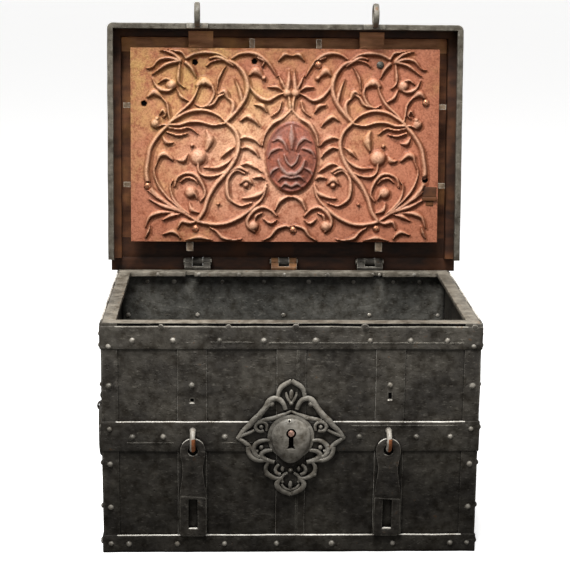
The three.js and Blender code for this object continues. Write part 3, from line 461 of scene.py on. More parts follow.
def forged_iron(name, base, light, rust_share, wear, roughness, gleam=0.1, low=0.36):
    """Wrought iron, hammered and kept oiled. Two shades of scale in broad cloudy patches, small pits,
    small specks painted bright as glints, edges rubbed to grey metal, brown rust in blotches, a painted shade
    that darkens corners and the foot of every step, and toward the foot of the box a painted falloff of light
    that makes the iron blacker and less glossy."""
    colours = bpy.context.scene.strongbox_colours
    material, tree, shader, place = blank(name)
    clouds = put(tree, "ShaderNodeTexNoise",
                 {"Vector": place, "Scale": 1 / (70 * MM), "Detail": 5.0, "Roughness": 0.6})
    rolled = put(tree, "ShaderNodeMapping", {"Vector": place, "Scale": (0.4, 1.0, 1.0)})
    grain = put(tree, "ShaderNodeTexNoise",
                {"Vector": rolled.outputs[0], "Scale": 1 / (4 * MM), "Detail": 3.0,
                                             "Roughness": 0.7})
    blotch = put(tree, "ShaderNodeTexNoise",
                 {"Vector": place, "Scale": 1 / (16 * MM), "Detail": 4.0, "Roughness": 0.65})
    pits = put(tree, "ShaderNodeTexVoronoi", {"Vector": place, "Scale": 1 / (9 * MM), "Randomness": 1.0})
    pit = put(tree, "ShaderNodeValToRGB", {"Fac": pits.outputs["Distance"]}, [(0.06, BLACK), (0.2, WHITE)])
    patch = put(tree, "ShaderNodeValToRGB", {"Fac": clouds.outputs["Fac"]}, [(0.38, BLACK), (0.66, WHITE)])
    scale = put(tree, "ShaderNodeMix", {0: patch.outputs["Color"], 6: linear(base), 7: linear(light)},
                data_type="RGBA")
    # Small specks of the grain take the worn colour: painted glints of bumps catching the light
    speck = put(tree, "ShaderNodeValToRGB", {"Fac": grain.outputs["Fac"]}, [(0.58, BLACK), (0.8, WHITE)])
    glint_share = put(tree, "ShaderNodeMath", {0: speck.outputs["Color"], 1: 0.3}, operation="MULTIPLY")
    glinted = put(tree, "ShaderNodeMix", {0: glint_share.outputs[0], 6: scale.outputs[2],
                                           7: linear(colours.worn)},
                   data_type="RGBA")
    sooty = put(tree, "ShaderNodeValToRGB", {"Fac": blotch.outputs["Fac"]},
                [(0.34, linear("#A8A39C")), (0.6, WHITE)])
    sooted = put(tree, "ShaderNodeMix", {0: 1.0, 6: glinted.outputs[2], 7: sooty.outputs["Color"]},
                     data_type="RGBA", blend_type="MULTIPLY")
    corner = put(tree, "ShaderNodeAmbientOcclusion", {"Distance": 9 * MM}, samples=6)
    onset = 0.72 - 0.3 * rust_share
    rusty = put(tree, "ShaderNodeValToRGB", {"Fac": blotch.outputs["Fac"]},
                [(onset, BLACK), (onset + 0.12, WHITE)])
    rusted = put(tree, "ShaderNodeMix", {0: rusty.outputs["Color"], 6: sooted.outputs[2],
                                         7: linear(colours.rust)},
                 data_type="RGBA")
    soft = put(tree, "ShaderNodeBevel", {"Radius": 2.4 * MM}, samples=6)
    facing = put(tree, "ShaderNodeNewGeometry")
    turn = put(tree, "ShaderNodeVectorMath", {0: soft.outputs["Normal"], 1: facing.outputs["Normal"]},
               operation="DOT_PRODUCT")
    edge = put(tree, "ShaderNodeMapRange", {"Value": turn.outputs["Value"], 1: 0.97, 2: 0.8, 3: 0.0, 4: wear})
    patchy = put(tree, "ShaderNodeValToRGB", {"Fac": blotch.outputs["Fac"]}, [(0.3, BLACK), (0.6, WHITE)])
    open_air = put(tree, "ShaderNodeValToRGB", {"Fac": corner.outputs["AO"]}, [(0.45, BLACK), (0.8, WHITE)])
    rubbed = put(tree, "ShaderNodeMath", {0: edge.outputs[0], 1: patchy.outputs["Color"]},
                 operation="MULTIPLY")
    rubbed = put(tree, "ShaderNodeMath", {0: rubbed.outputs[0], 1: open_air.outputs["Color"]},
                 operation="MULTIPLY")
    worn = put(tree, "ShaderNodeMix", {0: rubbed.outputs[0], 6: rusted.outputs[2], 7: linear(colours.worn)},
               data_type="RGBA")
    # Darker where ambient occlusion is low, in corners and at the foot of every band and curl: a painted shade
    corner_shade = put(tree, "ShaderNodeValToRGB", {"Fac": corner.outputs["AO"]},
               [(0.38, linear("#262320")), (0.8, WHITE)])
    corner_shaded = put(tree, "ShaderNodeMix", {0: 1.0, 6: worn.outputs[2], 7: corner_shade.outputs["Color"]},
                data_type="RGBA", blend_type="MULTIPLY")
    gloss = put(tree, "ShaderNodeMapRange", {"Value": blotch.outputs["Fac"], 1: 0.3, 2: 0.7,
                                             3: roughness - 0.12, 4: roughness + 0.14})
    # Darker and duller toward the box's foot: a painted falloff of the light from above, which also dims the
    # specular sheen
    level = put(tree, "ShaderNodeSeparateXYZ", {0: place})
    painted_falloff = put(tree, "ShaderNodeMapRange",
               {"Value": level.outputs["Z"], 1: 0.25 * RIM, 2: 0.9 * RIM, 3: low, 4: 1.0})
    falloff_colour = put(tree, "ShaderNodeCombineColor", {0: painted_falloff.outputs[0], 1: painted_falloff.outputs[0], 2: painted_falloff.outputs[0]})
    falloff_shaded = put(tree, "ShaderNodeMix", {0: 1.0, 6: corner_shaded.outputs[2], 7: falloff_colour.outputs[0]},
               data_type="RGBA", blend_type="MULTIPLY")
    sheen = put(tree, "ShaderNodeMath", {0: painted_falloff.outputs[0], 1: gleam}, operation="MULTIPLY")
    ground = put(tree, "ShaderNodeBump", {"Height": blotch.outputs["Fac"], "Strength": 0.9,
                                          "Distance": 2.0 * MM})
    pitted = put(tree, "ShaderNodeBump", {"Height": pit.outputs["Color"], "Strength": 0.8,
                                          "Distance": 0.8 * MM, "Normal": ground.outputs["Normal"]})
    fine = put(tree, "ShaderNodeBump", {"Height": grain.outputs["Fac"], "Strength": 0.6, "Distance": 0.7 * MM,
                                        "Normal": pitted.outputs["Normal"]})
    tree.links.new(falloff_shaded.outputs[2], shader.inputs["Base Color"])
    tree.links.new(gloss.outputs[0], shader.inputs["Roughness"])
    tree.links.new(fine.outputs["Normal"], shader.inputs["Normal"])
    tree.links.new(rubbed.outputs[0], shader.inputs["Metallic"])
    tree.links.new(sheen.outputs[0], shader.inputs["Specular IOR Level"])
    return material


def red_lead(name, dark, light, varnish, corner_shade_colour="#3A322C"):
    """Red lead primer browned by oil: flat, streaked along the lid's length, and darker in corners, a painted
    shade.
    """
    material, tree, shader, place = blank(name)
    stretched = put(tree, "ShaderNodeMapping", {"Vector": place, "Scale": (0.25, 1.0, 1.0)})
    streak = put(tree, "ShaderNodeTexNoise",
                 {"Vector": stretched.outputs[0], "Scale": 1 / (14 * MM), "Detail": 5.0,
                                              "Roughness": 0.65})
    clouds = put(tree, "ShaderNodeTexNoise", {"Vector": place, "Scale": 1 / (60 * MM), "Detail": 4.0})
    tint = put(tree, "ShaderNodeValToRGB", {"Fac": streak.outputs["Fac"]}, [(0.34, BLACK), (0.68, WHITE)])
    coat = put(tree, "ShaderNodeMix", {0: tint.outputs["Color"], 6: linear(dark), 7: linear(light)},
               data_type="RGBA")
    glow = put(tree, "ShaderNodeValToRGB", {"Fac": clouds.outputs["Fac"]}, [(0.5, BLACK), (0.72, WHITE)])
    warm = put(tree, "ShaderNodeMix", {0: glow.outputs["Color"], 6: coat.outputs[2], 7: linear(varnish)},
               data_type="RGBA")
    # Ambient occlusion darkens the corners of the lid: a painted shade
    corner = put(tree, "ShaderNodeAmbientOcclusion", {"Distance": 25 * MM}, samples=6)
    corner_shade = put(tree, "ShaderNodeValToRGB", {"Fac": corner.outputs["AO"]},
               [(0.15, linear(corner_shade_colour)), (0.85, WHITE)])
    corner_shaded = put(tree, "ShaderNodeMix", {0: 1.0, 6: warm.outputs[2], 7: corner_shade.outputs["Color"]},
                data_type="RGBA", blend_type="MULTIPLY")
    bump = put(tree, "ShaderNodeBump", {"Height": streak.outputs["Fac"], "Strength": 0.5,
                                        "Distance": 0.6 * MM})
    tree.links.new(corner_shaded.outputs[2], shader.inputs["Base Color"])
    tree.links.new(bump.outputs["Normal"], shader.inputs["Normal"])
    shader.inputs["Roughness"].default_value = 0.6
    shader.inputs["Specular IOR Level"].default_value = 0.15
    return material


def embossed_paint(name):
    """Old oil paint on embossed iron sheet. Terracotta made pale on the raised vines, partly rubbed and partly
    a painted highlight, ochre varnish left in the ground, a painted shadow below every stem and painted shade
    in the crevices, toward the top and, with dirt, along the margins, holes painted black as painted shade,
    and grey wear with a painted highlight on the cartouche's leaves."""
    colours = bpy.context.scene.strongbox_colours
    material, tree, shader, place = blank(name)
    raised = put(tree, "ShaderNodeAttribute", attribute_name="raised").outputs["Fac"]
    foot = put(tree, "ShaderNodeAttribute", attribute_name="foot").outputs["Fac"]
    badge = put(tree, "ShaderNodeAttribute", attribute_name="badge").outputs["Fac"]
    shade = put(tree, "ShaderNodeAttribute", attribute_name="shade").outputs["Fac"]
    bloom = put(tree, "ShaderNodeAttribute", attribute_name="bloom").outputs["Fac"]
    clouds = put(tree, "ShaderNodeTexNoise",
                 {"Vector": place, "Scale": 1 / (95 * MM), "Detail": 4.0, "Roughness": 0.55})
    blotch = put(tree, "ShaderNodeTexNoise",
                 {"Vector": place, "Scale": 1 / (17 * MM), "Detail": 5.0, "Roughness": 0.7})
    grain = put(tree, "ShaderNodeTexNoise",
                {"Vector": place, "Scale": 1 / (3.5 * MM), "Detail": 3.0, "Roughness": 0.7})
    broad = put(tree, "ShaderNodeMath", {0: clouds.outputs["Fac"], 1: shade}, operation="ADD")
    zone = put(tree, "ShaderNodeValToRGB", {"Fac": broad.outputs[0]}, [(0.62, BLACK), (0.9, WHITE)])
    spread = put(tree, "ShaderNodeMapRange",
                 {"Value": blotch.outputs["Fac"], 1: 0.35, 2: 0.62, 3: 0.35, 4: 1.0})
    yellow = put(tree, "ShaderNodeMath", {0: zone.outputs["Color"], 1: spread.outputs[0]},
                 operation="MULTIPLY")
    ground = put(tree, "ShaderNodeMix", {0: yellow.outputs[0], 6: linear(colours.paint),
                                         7: linear(colours.ochre)},
                 data_type="RGBA")
    dark_patch = put(tree, "ShaderNodeValToRGB", {"Fac": blotch.outputs["Fac"]},
                     [(0.3, WHITE), (0.48, BLACK)])
    chalky = put(tree, "ShaderNodeMath", {0: bloom, 1: spread.outputs[0]}, operation="MULTIPLY")
    faded = put(tree, "ShaderNodeMix", {0: chalky.outputs[0], 6: ground.outputs[2], 7: linear("#D8A888")},
                data_type="RGBA")
    stained = put(tree, "ShaderNodeMix", {0: dark_patch.outputs["Color"], 6: faded.outputs[2],
                                          7: linear("#84492F")},
                  data_type="RGBA")
    # Crests turn pale: partly rubbing, partly a painted highlight
    rubbed_lit_crest = put(tree, "ShaderNodeMapRange", {"Value": raised, 1: 0.35, 2: 1.0, 3: 0.0, 4: 0.45})
    worn = put(tree, "ShaderNodeMix", {0: rubbed_lit_crest.outputs[0], 6: stained.outputs[2],
                                       7: linear(colours.paint_rubbed_and_lit)},
               data_type="RGBA")
    # The foot mark darkens the paint brown: a painted shadow below the ridges, painted shade in crevices and
    # toward the top, and dirt along the margins
    edge = put(tree, "ShaderNodeMapRange", {"Value": foot, 1: 0.08, 2: 0.75, 3: 0.0, 4: 0.62})
    grime_and_shade = put(tree, "ShaderNodeMix", {0: edge.outputs[0], 6: worn.outputs[2], 7: linear("#4A2716")},
                 data_type="RGBA")
    slate = put(tree, "ShaderNodeMix", {0: spread.outputs[0], 6: linear("#6A4A42"), 7: linear("#96543E")},
                data_type="RGBA")
    # The cartouche's leaves turn grey on their crests: partly wear, partly a painted highlight
    leaf = put(tree, "ShaderNodeMix", {0: rubbed_lit_crest.outputs[0], 6: slate.outputs[2], 7: linear("#A0948A")},
               data_type="RGBA")
    # The cartouche darkens the same way
    sign = put(tree, "ShaderNodeMix", {0: edge.outputs[0], 6: leaf.outputs[2], 7: linear("#3A2420")},
               data_type="RGBA")
    whole = put(tree, "ShaderNodeMix", {0: badge, 6: grime_and_shade.outputs[2], 7: sign.outputs[2]}, data_type="RGBA")
    speck = put(tree, "ShaderNodeValToRGB", {"Fac": grain.outputs["Fac"]},
                [(0.3, linear("#C4B6AC")), (0.58, WHITE)])
    spotted = put(tree, "ShaderNodeMix", {0: 1.0, 6: whole.outputs[2], 7: speck.outputs["Color"]},
                  data_type="RGBA", blend_type="MULTIPLY")
    # Empty holes are painted black with no sheen: a painted shade
    painted_hole = put(tree, "ShaderNodeMapRange", {"Value": foot, 1: 2.5, 2: 3.5, 3: 0.0, 4: 1.0})
    final = put(tree, "ShaderNodeMix", {0: painted_hole.outputs[0], 6: spotted.outputs[2], 7: linear("#060505")},
                data_type="RGBA")
    gloss = put(tree, "ShaderNodeMapRange",
                {"Value": blotch.outputs["Fac"], 1: 0.3, 2: 0.7, 3: 0.38, 4: 0.62})
    # The specular sheen fades where the painted shade falls
    sheen = put(tree, "ShaderNodeMapRange", {"Value": foot, 1: 0.2, 2: 1.5, 3: 0.3, 4: 0.0})
    tree.links.new(sheen.outputs[0], shader.inputs["Specular IOR Level"])
    lumps = put(tree, "ShaderNodeBump", {"Height": blotch.outputs["Fac"], "Strength": 0.8,
                                         "Distance": 1.5 * MM})
    fine = put(tree, "ShaderNodeBump", {"Height": grain.outputs["Fac"], "Strength": 0.7, "Distance": 0.9 * MM,
                                        "Normal": lumps.outputs["Normal"]})
    tree.links.new(final.outputs[2], shader.inputs["Base Color"])
    tree.links.new(gloss.outputs[0], shader.inputs["Roughness"])
    tree.links.new(fine.outputs["Normal"], shader.inputs["Normal"])
    return material


def screw_brass(name, dark, light):
    """Brass or copper of hand cut screws and pins, dull with handling."""
    material, tree, shader, place = blank(name)
    grain = put(tree, "ShaderNodeTexNoise", {"Vector": place, "Scale": 1 / (3 * MM), "Detail": 3.0})
    tint = put(tree, "ShaderNodeValToRGB", {"Fac": grain.outputs["Fac"]},
               [(0.35, linear(dark)), (0.65, linear(light))])
    tree.links.new(tint.outputs["Color"], shader.inputs["Base Color"])
    shader.inputs["Metallic"].default_value = 0.8
    shader.inputs["Roughness"].default_value = 0.42
    return material


LOOKS = {}


def look(name):
    """The material of that name, made once."""
    if name in LOOKS:
        return LOOKS[name]
    colours = bpy.context.scene.strongbox_colours
    # The two shades of the scale, share of rust, wear of edges, roughness, gleam, and the share of light that
    # the painted falloff leaves at the box's foot
    irons = {
        "dark_iron": (colours.iron, colours.iron_light, 0.14, 0.7, 0.5),
        "worn_iron": ("#3A3732", "#6C685F", 0.3, 0.9, 0.42, 0.2),
        "bright_iron": ("#625E55", "#969186", 0.5, 0.9, 0.42, 0.2),
        "rim_iron": ("#5F5A51", "#847D71", 0.35, 0.6, 0.5),
        "bead_iron": ("#4C4841", "#5E594F", 0.15, 0.4, 0.55),
        "rusty_iron": ("#6A4A34", "#A87850", 0.9, 0.5, 0.6),
        # A lighter copy of the iron for the inside of the back wall, partly painted light
        "inner_iron": ("#44433F", "#5E5C56", 0.1, 0.3, 0.5, 0.1, 0.7),
        # Black painted into holes and under the rim: a painted shade
        "bore_black": ("#050505", "#0B0A09", 0.0, 0.0, 0.9, 0.05),
        "rivet_iron": ("#6E6A62", "#A8A297", 0.15, 0.9, 0.34, 0.3, 0.6),
        # Bright metal on edges and upward faces: partly rubbing wear, partly a painted highlight where light
        # from above falls
        "rubbed_iron": ("#A5A096", "#E2DDD3", 0.1, 0.9, 0.34, 0.5, 0.8),
        "curl_iron": ("#6E6A62", "#A09A8F", 0.2, 0.9, 0.36, 0.25, 0.4),
        "hasp_iron": ("#2E2B28", "#47433D", 0.3, 0.9, 0.42, 0.15, 0.45),
        "staple_iron": ("#868076", "#B6B0A5", 0.3, 0.9, 0.4, 0.4, 0.8),
        "staple_rust": ("#6B3E24", "#A06036", 0.3, 0.5, 0.5, 0.2, 0.8),
        "bolt_iron": ("#5A4A3C", "#8C7B68", 0.6, 0.9, 0.5),
    }
    # The dark and the light of the streaks, the varnish's tint, and the colour of the painted shade in corners
    primers = {
        "primer": ("#2E1B14", colours.primer, "#6B4226"),
        # Lit and shaded copies of the red lead inside the lid: half shade, a painted shadow, a lit copy, and a
        # dark copy for the skirt's inner wall and ledge, a painted shade
        "side_paint": ("#43291B", "#6E452C", "#7E5632", "#8A7C70"),
        "sooty_primer": ("#1C110B", "#3C2417", "#4E2E1A", "#6A625A"),
        "inner_paint": ("#A06A48", "#E2A478", "#ECAC6C", "#C8B8AA"),
        "ledge": ("#20140E", "#462A1B", "#603C22"),
    }
    # The dark and the light of the metal
    soft_metals = {
        "pin_copper": ("#8E6E60", "#C9A594"),
        "screw_brass": ("#5E3A28", "#B88060"),
    }
    painted = {"embossed_paint": ()}
    for maker, kinds in ((forged_iron, irons), (red_lead, primers), (screw_brass, soft_metals),
                         (embossed_paint, painted)):
        if name in kinds:
            LOOKS[name] = maker(name, *kinds[name])
    return LOOKS[name]


# The body: sheets, rim bars, straps and bands

def bar_with_rivets(name, bars, rivets, material, slot, *nodes):
    """Bars and their rivets as one piece of the box."""
    piece = joined(name, bars + rivets)
    return dressed(piece, look(material), "box", slot, *nodes)


def make_sheets():
    """The body's five plates, each hammered flat from thicker stock and a little uneven."""
    for node in ("front_plate", "back_plate", "left_side_plate", "right_side_plate"):
        piece = forged(*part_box(node), cell=8 * MM)
        piece.name = node.replace("_plate", "_sheet")
        if node == "back_plate":
            # The inner face takes a lighter copy of the iron that darkens less toward the foot: partly a
            # greyer, smoother finish of its own, partly painted light where the lamps reach the back wall
            marked(piece, "inner_iron", (0, -1, 0), share=0.7)
        dressed(piece, look("dark_iron"), "box", "dark_iron", node)
    floor = forged(*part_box("floor_plate"), cell=8 * MM)
    floor.name = "floor_sheet"
    dressed(floor, look("dark_iron"), "box", "inner_iron", "floor_plate")


def make_inner_rivets():
    """Rivet ends inside the box: a row under the rim, and the straps' rivets lower down."""
    inner_y = PLATE_Y - 3 * MM
    inner_x = PLATE_X - 3 * MM
    row_z = RIM - 21 * MM
    low_z = RIM - 83 * MM
    for x_shares, name, wall_y, outward in (
        ((-0.82, -0.66, -0.37, -0.12, 0.15, 0.42, 0.66, 0.82), "back_inner_rivets", inner_y, (0, -1, 0)),
        ((-0.8, -0.5, -0.2, 0.18, 0.48, 0.8), "front_inner_rivets", -inner_y, (0, 1, 0)),
    ):
        places = [(share * HOOP_X, wall_y, row_z) for share in x_shares]
        places += [(x, wall_y, low_z) for x in (-PLATE_X * 0.95, *STRAP_PLACES, PLATE_X * 0.95)]
        places += [(share * HOOP_X, wall_y, MID_Z) for share in x_shares]
        piece = joined(name, rivet_heads(places, outward, 21, radius=4.4 * MM, height=1.6 * MM))
        dressed(piece, look("worn_iron"), "box", "worn_iron")
    for side, sign in (("left", -1), ("right", 1)):
        places = [(sign * inner_x, share * HOOP_Y, z) for share in (-0.8, -0.42, 0.0, 0.42, 0.8)
                  for z in (row_z, MID_Z)]
        piece = joined(side + "_inner_rivets",
                       rivet_heads(places, (-sign, 0, 0), 23, radius=4.4 * MM, height=1.6 * MM))
        dressed(piece, look("worn_iron"), "box", "worn_iron")


def make_rim():
    """Four flat bars round the mouth, the back one notched for the rear bolts, with flush rivets."""
    for side in ("front", "left", "right"):
        node = "rim_bar_" + side
        # The front face below the bar's thin top edge is painted black: a painted shadow line under the rim's
        # overhang
        bar = marked(forged(*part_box(node), cell=7 * MM, depth=1.0 * MM), "bore_black", (0, -1, 0), share=0.9,
                     where=lambda at: at.z < RIM - 1.2 * MM)
        rivets = []
        if side == "front":
            lo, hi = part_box(node)
            places = [(share * HOOP_X, lo.y - 3.6 * MM, lo.z + 2 * MM)
                      for share in (-0.68, -0.33, 0.02, 0.38, 0.955)]
            rivets = rivet_heads(places, (0, -1, 0), 31, radius=5.8 * MM, height=1.3 * MM, finish="dark_iron")
        bar_with_rivets("rim_" + side, [bar] + rivets, [], "rim_iron", "worn_iron", node)
    lo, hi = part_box("rim_bar_back")
    bar = plank(lo, hi, cell=6 * MM)
    bolt_half = 8 * MM
    bolt_out = 169 * MM
    for x in (-bolt_out, bolt_out):
        cut_out(bar, plank((x - bolt_half, lo.y - 20 * MM, lo.z - 9 * MM),
                           (x + bolt_half, lo.y + 11 * MM, hi.z + 9 * MM)))
    bar = edged(hammered(bar, 0.9 * MM, DENT_SIZE))
    places = [(share * HOOP_X, lo.y, (lo.z + hi.z) / 2)
              for share in (-0.755, -0.51, -0.27, 0.0, 0.26, 0.53, 0.57, 0.78)]
    rivets = rivet_heads(places, (0, -1, 0), 33, radius=3.4 * MM, height=1.2 * MM)
    bar_with_rivets("rim_back", [bar], rivets, "rim_iron", "worn_iron", "rim_bar_back")
    bpy.ops.object.select_all(action="DESELECT")
    bpy.ops.mesh.primitive_torus_add(
        major_radius=6 * MM, minor_radius=1.6 * MM, major_segments=24, minor_segments=8,
        location=(PLATE_X - 14 * MM, -PLATE_Y + 70 * MM, RIM - 22 * MM),
        rotation=(math.radians(90), 0, math.radians(60)))
    ring = bpy.context.object
    ring.name = "stay_ring"
    smooth(settle(ring), 60)
    dressed(ring, look("bright_iron"), "box", "bright_iron")


# Rivets of each band's front and back, as shares of the half width
FRONT_RIVETS = {
    "top_hoop": (-0.828, -0.618, -0.377, -0.146, 0.123, 0.408, 0.619, 0.812),
    "middle_hoop": (-0.834, -0.673, -0.349, 0.362, 0.664, 0.844),
    "bottom_hoop": (-0.859, -0.601, -0.349, -0.07, 0.225, 0.554, 0.863),
}
# Lines that the smith's tool left in a band: start and end as shares of the half width, and millimetres
# below the upper edge
FORGED_LINES = {
    "top_hoop": ((-0.42, -0.2, 31), (-0.12, 0.9, 32)),
    "middle_hoop": ((-0.86, -0.62, 36), (-0.36, -0.2, 36), (0.32, 0.88, 8)),
    "bottom_hoop": (),
}
# Length of a band's upper edge at each corner that keeps the plain iron, without the rubbed and painted
# highlight
UNHIGHLIT_EDGE_END = 27 * MM  # of a band's upper edge, at each corner
SIDE_RIVETS = (-0.9, -0.62, -0.36, 0.36, 0.62, 0.9)  # of a band's sides, as shares of the half depth


def make_bands():
    """Three bands round the body, each of four bars that meet at the corners, under hand set rivets."""
    bar = BAND - 0.3 * MM
    for number, (node, shares) in enumerate(FRONT_RIVETS.items()):
        lo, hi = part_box(node)
        z0, z1 = lo.z, hi.z
        middle = (z0 + z1) / 2
        pieces = []
        for y0, y1, outward in ((-HOOP_Y, -HOOP_Y + bar, -1), (HOOP_Y - bar, HOOP_Y, 1)):
            gap = 4.6 * MM if node == "top_hoop" else 0
            band = forged((-HOOP_X, y0, z0), (HOOP_X, y1, z1 - gap), cell=8 * MM, edge=1.4 * MM)
            # The upper faces take a bright finish: partly wear, partly a painted highlight of the light from
            # above
            pieces.append(marked(band, "bright_iron" if gap else "rubbed_iron", (0, 0, 1),
                                 where=lambda at: abs(at.x) < HOOP_X - UNHIGHLIT_EDGE_END))
            row = middle - (6 * MM if node == "top_hoop" else 0)
            places = [(-outward * share * HOOP_X, outward * HOOP_Y, row) for share in shares]
            pieces += rivet_heads(places, (0, outward, 0), 40 + number)
            for first, last, drop in FORGED_LINES[node]:
                low = sorted((outward * (HOOP_Y - 0.6 * MM), outward * (HOOP_Y + 0.7 * MM)))
                line = forged((first * HOOP_X, low[0], z1 - drop * MM),
                              (last * HOOP_X, low[1], z1 - (drop - 1.4) * MM),
                              cell=4 * MM, depth=0.3 * MM, edge=0.3 * MM)
                # The line's upper face takes a bright finish, partly wear and partly a painted highlight
                pieces.append(marked(line, "bright_iron", (0, 0, 1), share=0.6))
        for x0, x1, outward in ((-HOOP_X, -HOOP_X + bar, -1), (HOOP_X - bar, HOOP_X, 1)):
            band = forged((x0, -HOOP_Y + bar, z0), (x1, HOOP_Y - bar, z1), cell=8 * MM, edge=2.2 * MM)
            # The upper faces of the sides take the same bright finish, partly a painted highlight
            pieces.append(marked(band, "rubbed_iron", (0, 0, 1),
                                 where=lambda at: abs(at.y) < HOOP_Y - UNHIGHLIT_EDGE_END))
            places = [(outward * HOOP_X, share * HOOP_Y, middle) for share in SIDE_RIVETS]
            pieces += rivet_heads(places, (outward, 0, 0), 50 + number)
        dressed(joined(node.replace("hoop", "band"), pieces), look("dark_iron"), "box", "dark_iron", node)


# How far the back and the face of the sides' and corners' straps stand off the plates
STRAP_BACK = 0.3 * MM
STRAP_FACE = 2.3 * MM
CORNER_LEG = 28 * MM  # width of a corner strap on each side, from the hoops' corner
CORNER_RIVETS = (16, 77, 149, 208, 279, 343)  # heights in millimetres


def make_front_straps():
    """Upright straps on the front, under the hoops: a slot in the outer two, a seam on the middle one."""
    for side in ("left", "centre", "right"):
        node = "front_strap_" + side
        lo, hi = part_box(node)
        face = -STRAP_OUT
        x = (lo.x + hi.x) / 2
        bar = forged((lo.x, face, lo.z), (hi.x, -PLATE_Y - 0.3 * MM, hi.z - 5 * MM), cell=7 * MM,
                     edge=1.1 * MM)
        # The side faces take the bright finish: partly wear, partly a painted highlight
        bars = [marked(bar, "rubbed_iron", (1, 0, 0), (-1, 0, 0), share=0.5)]
        rivets = []
        if side != "centre":
            rivets = rivet_heads([(x, face, RIM - 100 * MM)], (0, -1, 0), 61)
            low = RIM - (127 if side == "left" else 122) * MM
            top = RIM - (122 if side == "left" else 112) * MM
            cut_out(bar, plank((x - 2.9 * MM, face - 5 * MM, low), (x + 2.9 * MM, face + 1.2 * MM, top)))
            # The slot's inside is painted black: a painted shade
            marked(bar, "bore_black", where=lambda at: (
                abs(at.x - x) < 3 * MM and low < at.z < top and at.y > face + 0.5 * MM))
            chip = forged((x - 4 * MM, face - 0.8 * MM, low - 4 * MM),
                          (x + 4 * MM, face + 0.5 * MM, low - 2 * MM), cell=2 * MM, depth=0)
            rivets.append(marked(chip, "rubbed_iron"))
        else:
            seam = forged((x + 9 * MM, face - 0.8 * MM, lo.z), (x + 11 * MM, face + 0.5 * MM, hi.z),
                          cell=6 * MM, depth=0.8 * MM)
            rivets.append(seam)
        bar_with_rivets("upright_" + side, bars, rivets, "dark_iron", "dark_iron", node)


def make_side_straps():
    """Upright straps on the sides, under the hoops."""
    for side, sign in (("left", -1), ("right", 1)):
        for end in ("front", "back"):
            node = f"side_strap_{side}_{end}"
            lo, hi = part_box(node)
            x0, x1 = sorted((sign * (PLATE_X + STRAP_BACK), sign * (PLATE_X + STRAP_FACE)))
            bars = [forged((x0, lo.y, lo.z), (x1, hi.y, hi.z), cell=7 * MM)]
            places = [(sign * (PLATE_X + STRAP_FACE), (lo.y + hi.y) / 2, share * RIM)
                      for share in (0.24, 0.76)]
            rivets = rivet_heads(places, (sign, 0, 0), 62)
            bar_with_rivets(f"side_upright_{side}_{end}", bars, rivets, "dark_iron", "dark_iron", node)


def make_corner_straps():
    """Angle bands on the corners, each of two bars that meet, under the hoops."""
    for side, sx in (("left", -1), ("right", 1)):
        for end, sy in (("front", -1), ("back", 1)):
            node = f"corner_strap_{end}_{side}"
            leg_x = sorted((sx * (HOOP_X - CORNER_LEG), sx * (PLATE_X + STRAP_FACE)))
            leg_y = sorted((sy * (HOOP_Y - CORNER_LEG), sy * (PLATE_Y + STRAP_FACE)))
            thin_y = sorted((sy * (PLATE_Y + STRAP_BACK), sy * (PLATE_Y + STRAP_FACE)))
            thin_x = sorted((sx * (PLATE_X + STRAP_BACK), sx * (PLATE_X + STRAP_FACE)))
            bars = [forged((leg_x[0], thin_y[0], 0.3 * MM), (leg_x[1], thin_y[1], RIM), cell=7 * MM),
                    forged((thin_x[0], leg_y[0], 0.3 * MM), (thin_x[1], leg_y[1], RIM), cell=7 * MM)]
            heights = [height * MM for height in CORNER_RIVETS]
            front_x = sx * (HOOP_X - 14 * MM)
            side_y = sy * (HOOP_Y - 11 * MM)
            proud = [BAND if any(low.z < z < top.z for low, top in HOOPS) else STRAP_FACE for z in heights]
            proud[-1] -= 0.9 * MM  # clear of the closed lid's bead
            rivets = rivet_heads([(front_x, sy * (PLATE_Y + out), z) for z, out in zip(heights, proud)],
                                 (0, sy, 0), 63)
            rivets += rivet_heads([(sx * (PLATE_X + out), side_y, z) for z, out in zip(heights, proud)],
                                  (sx, 0, 0), 64)
            bar_with_rivets(f"corner_band_{end}_{side}", bars, rivets, "dark_iron", "dark_iron", node)


# The keyhole of the front

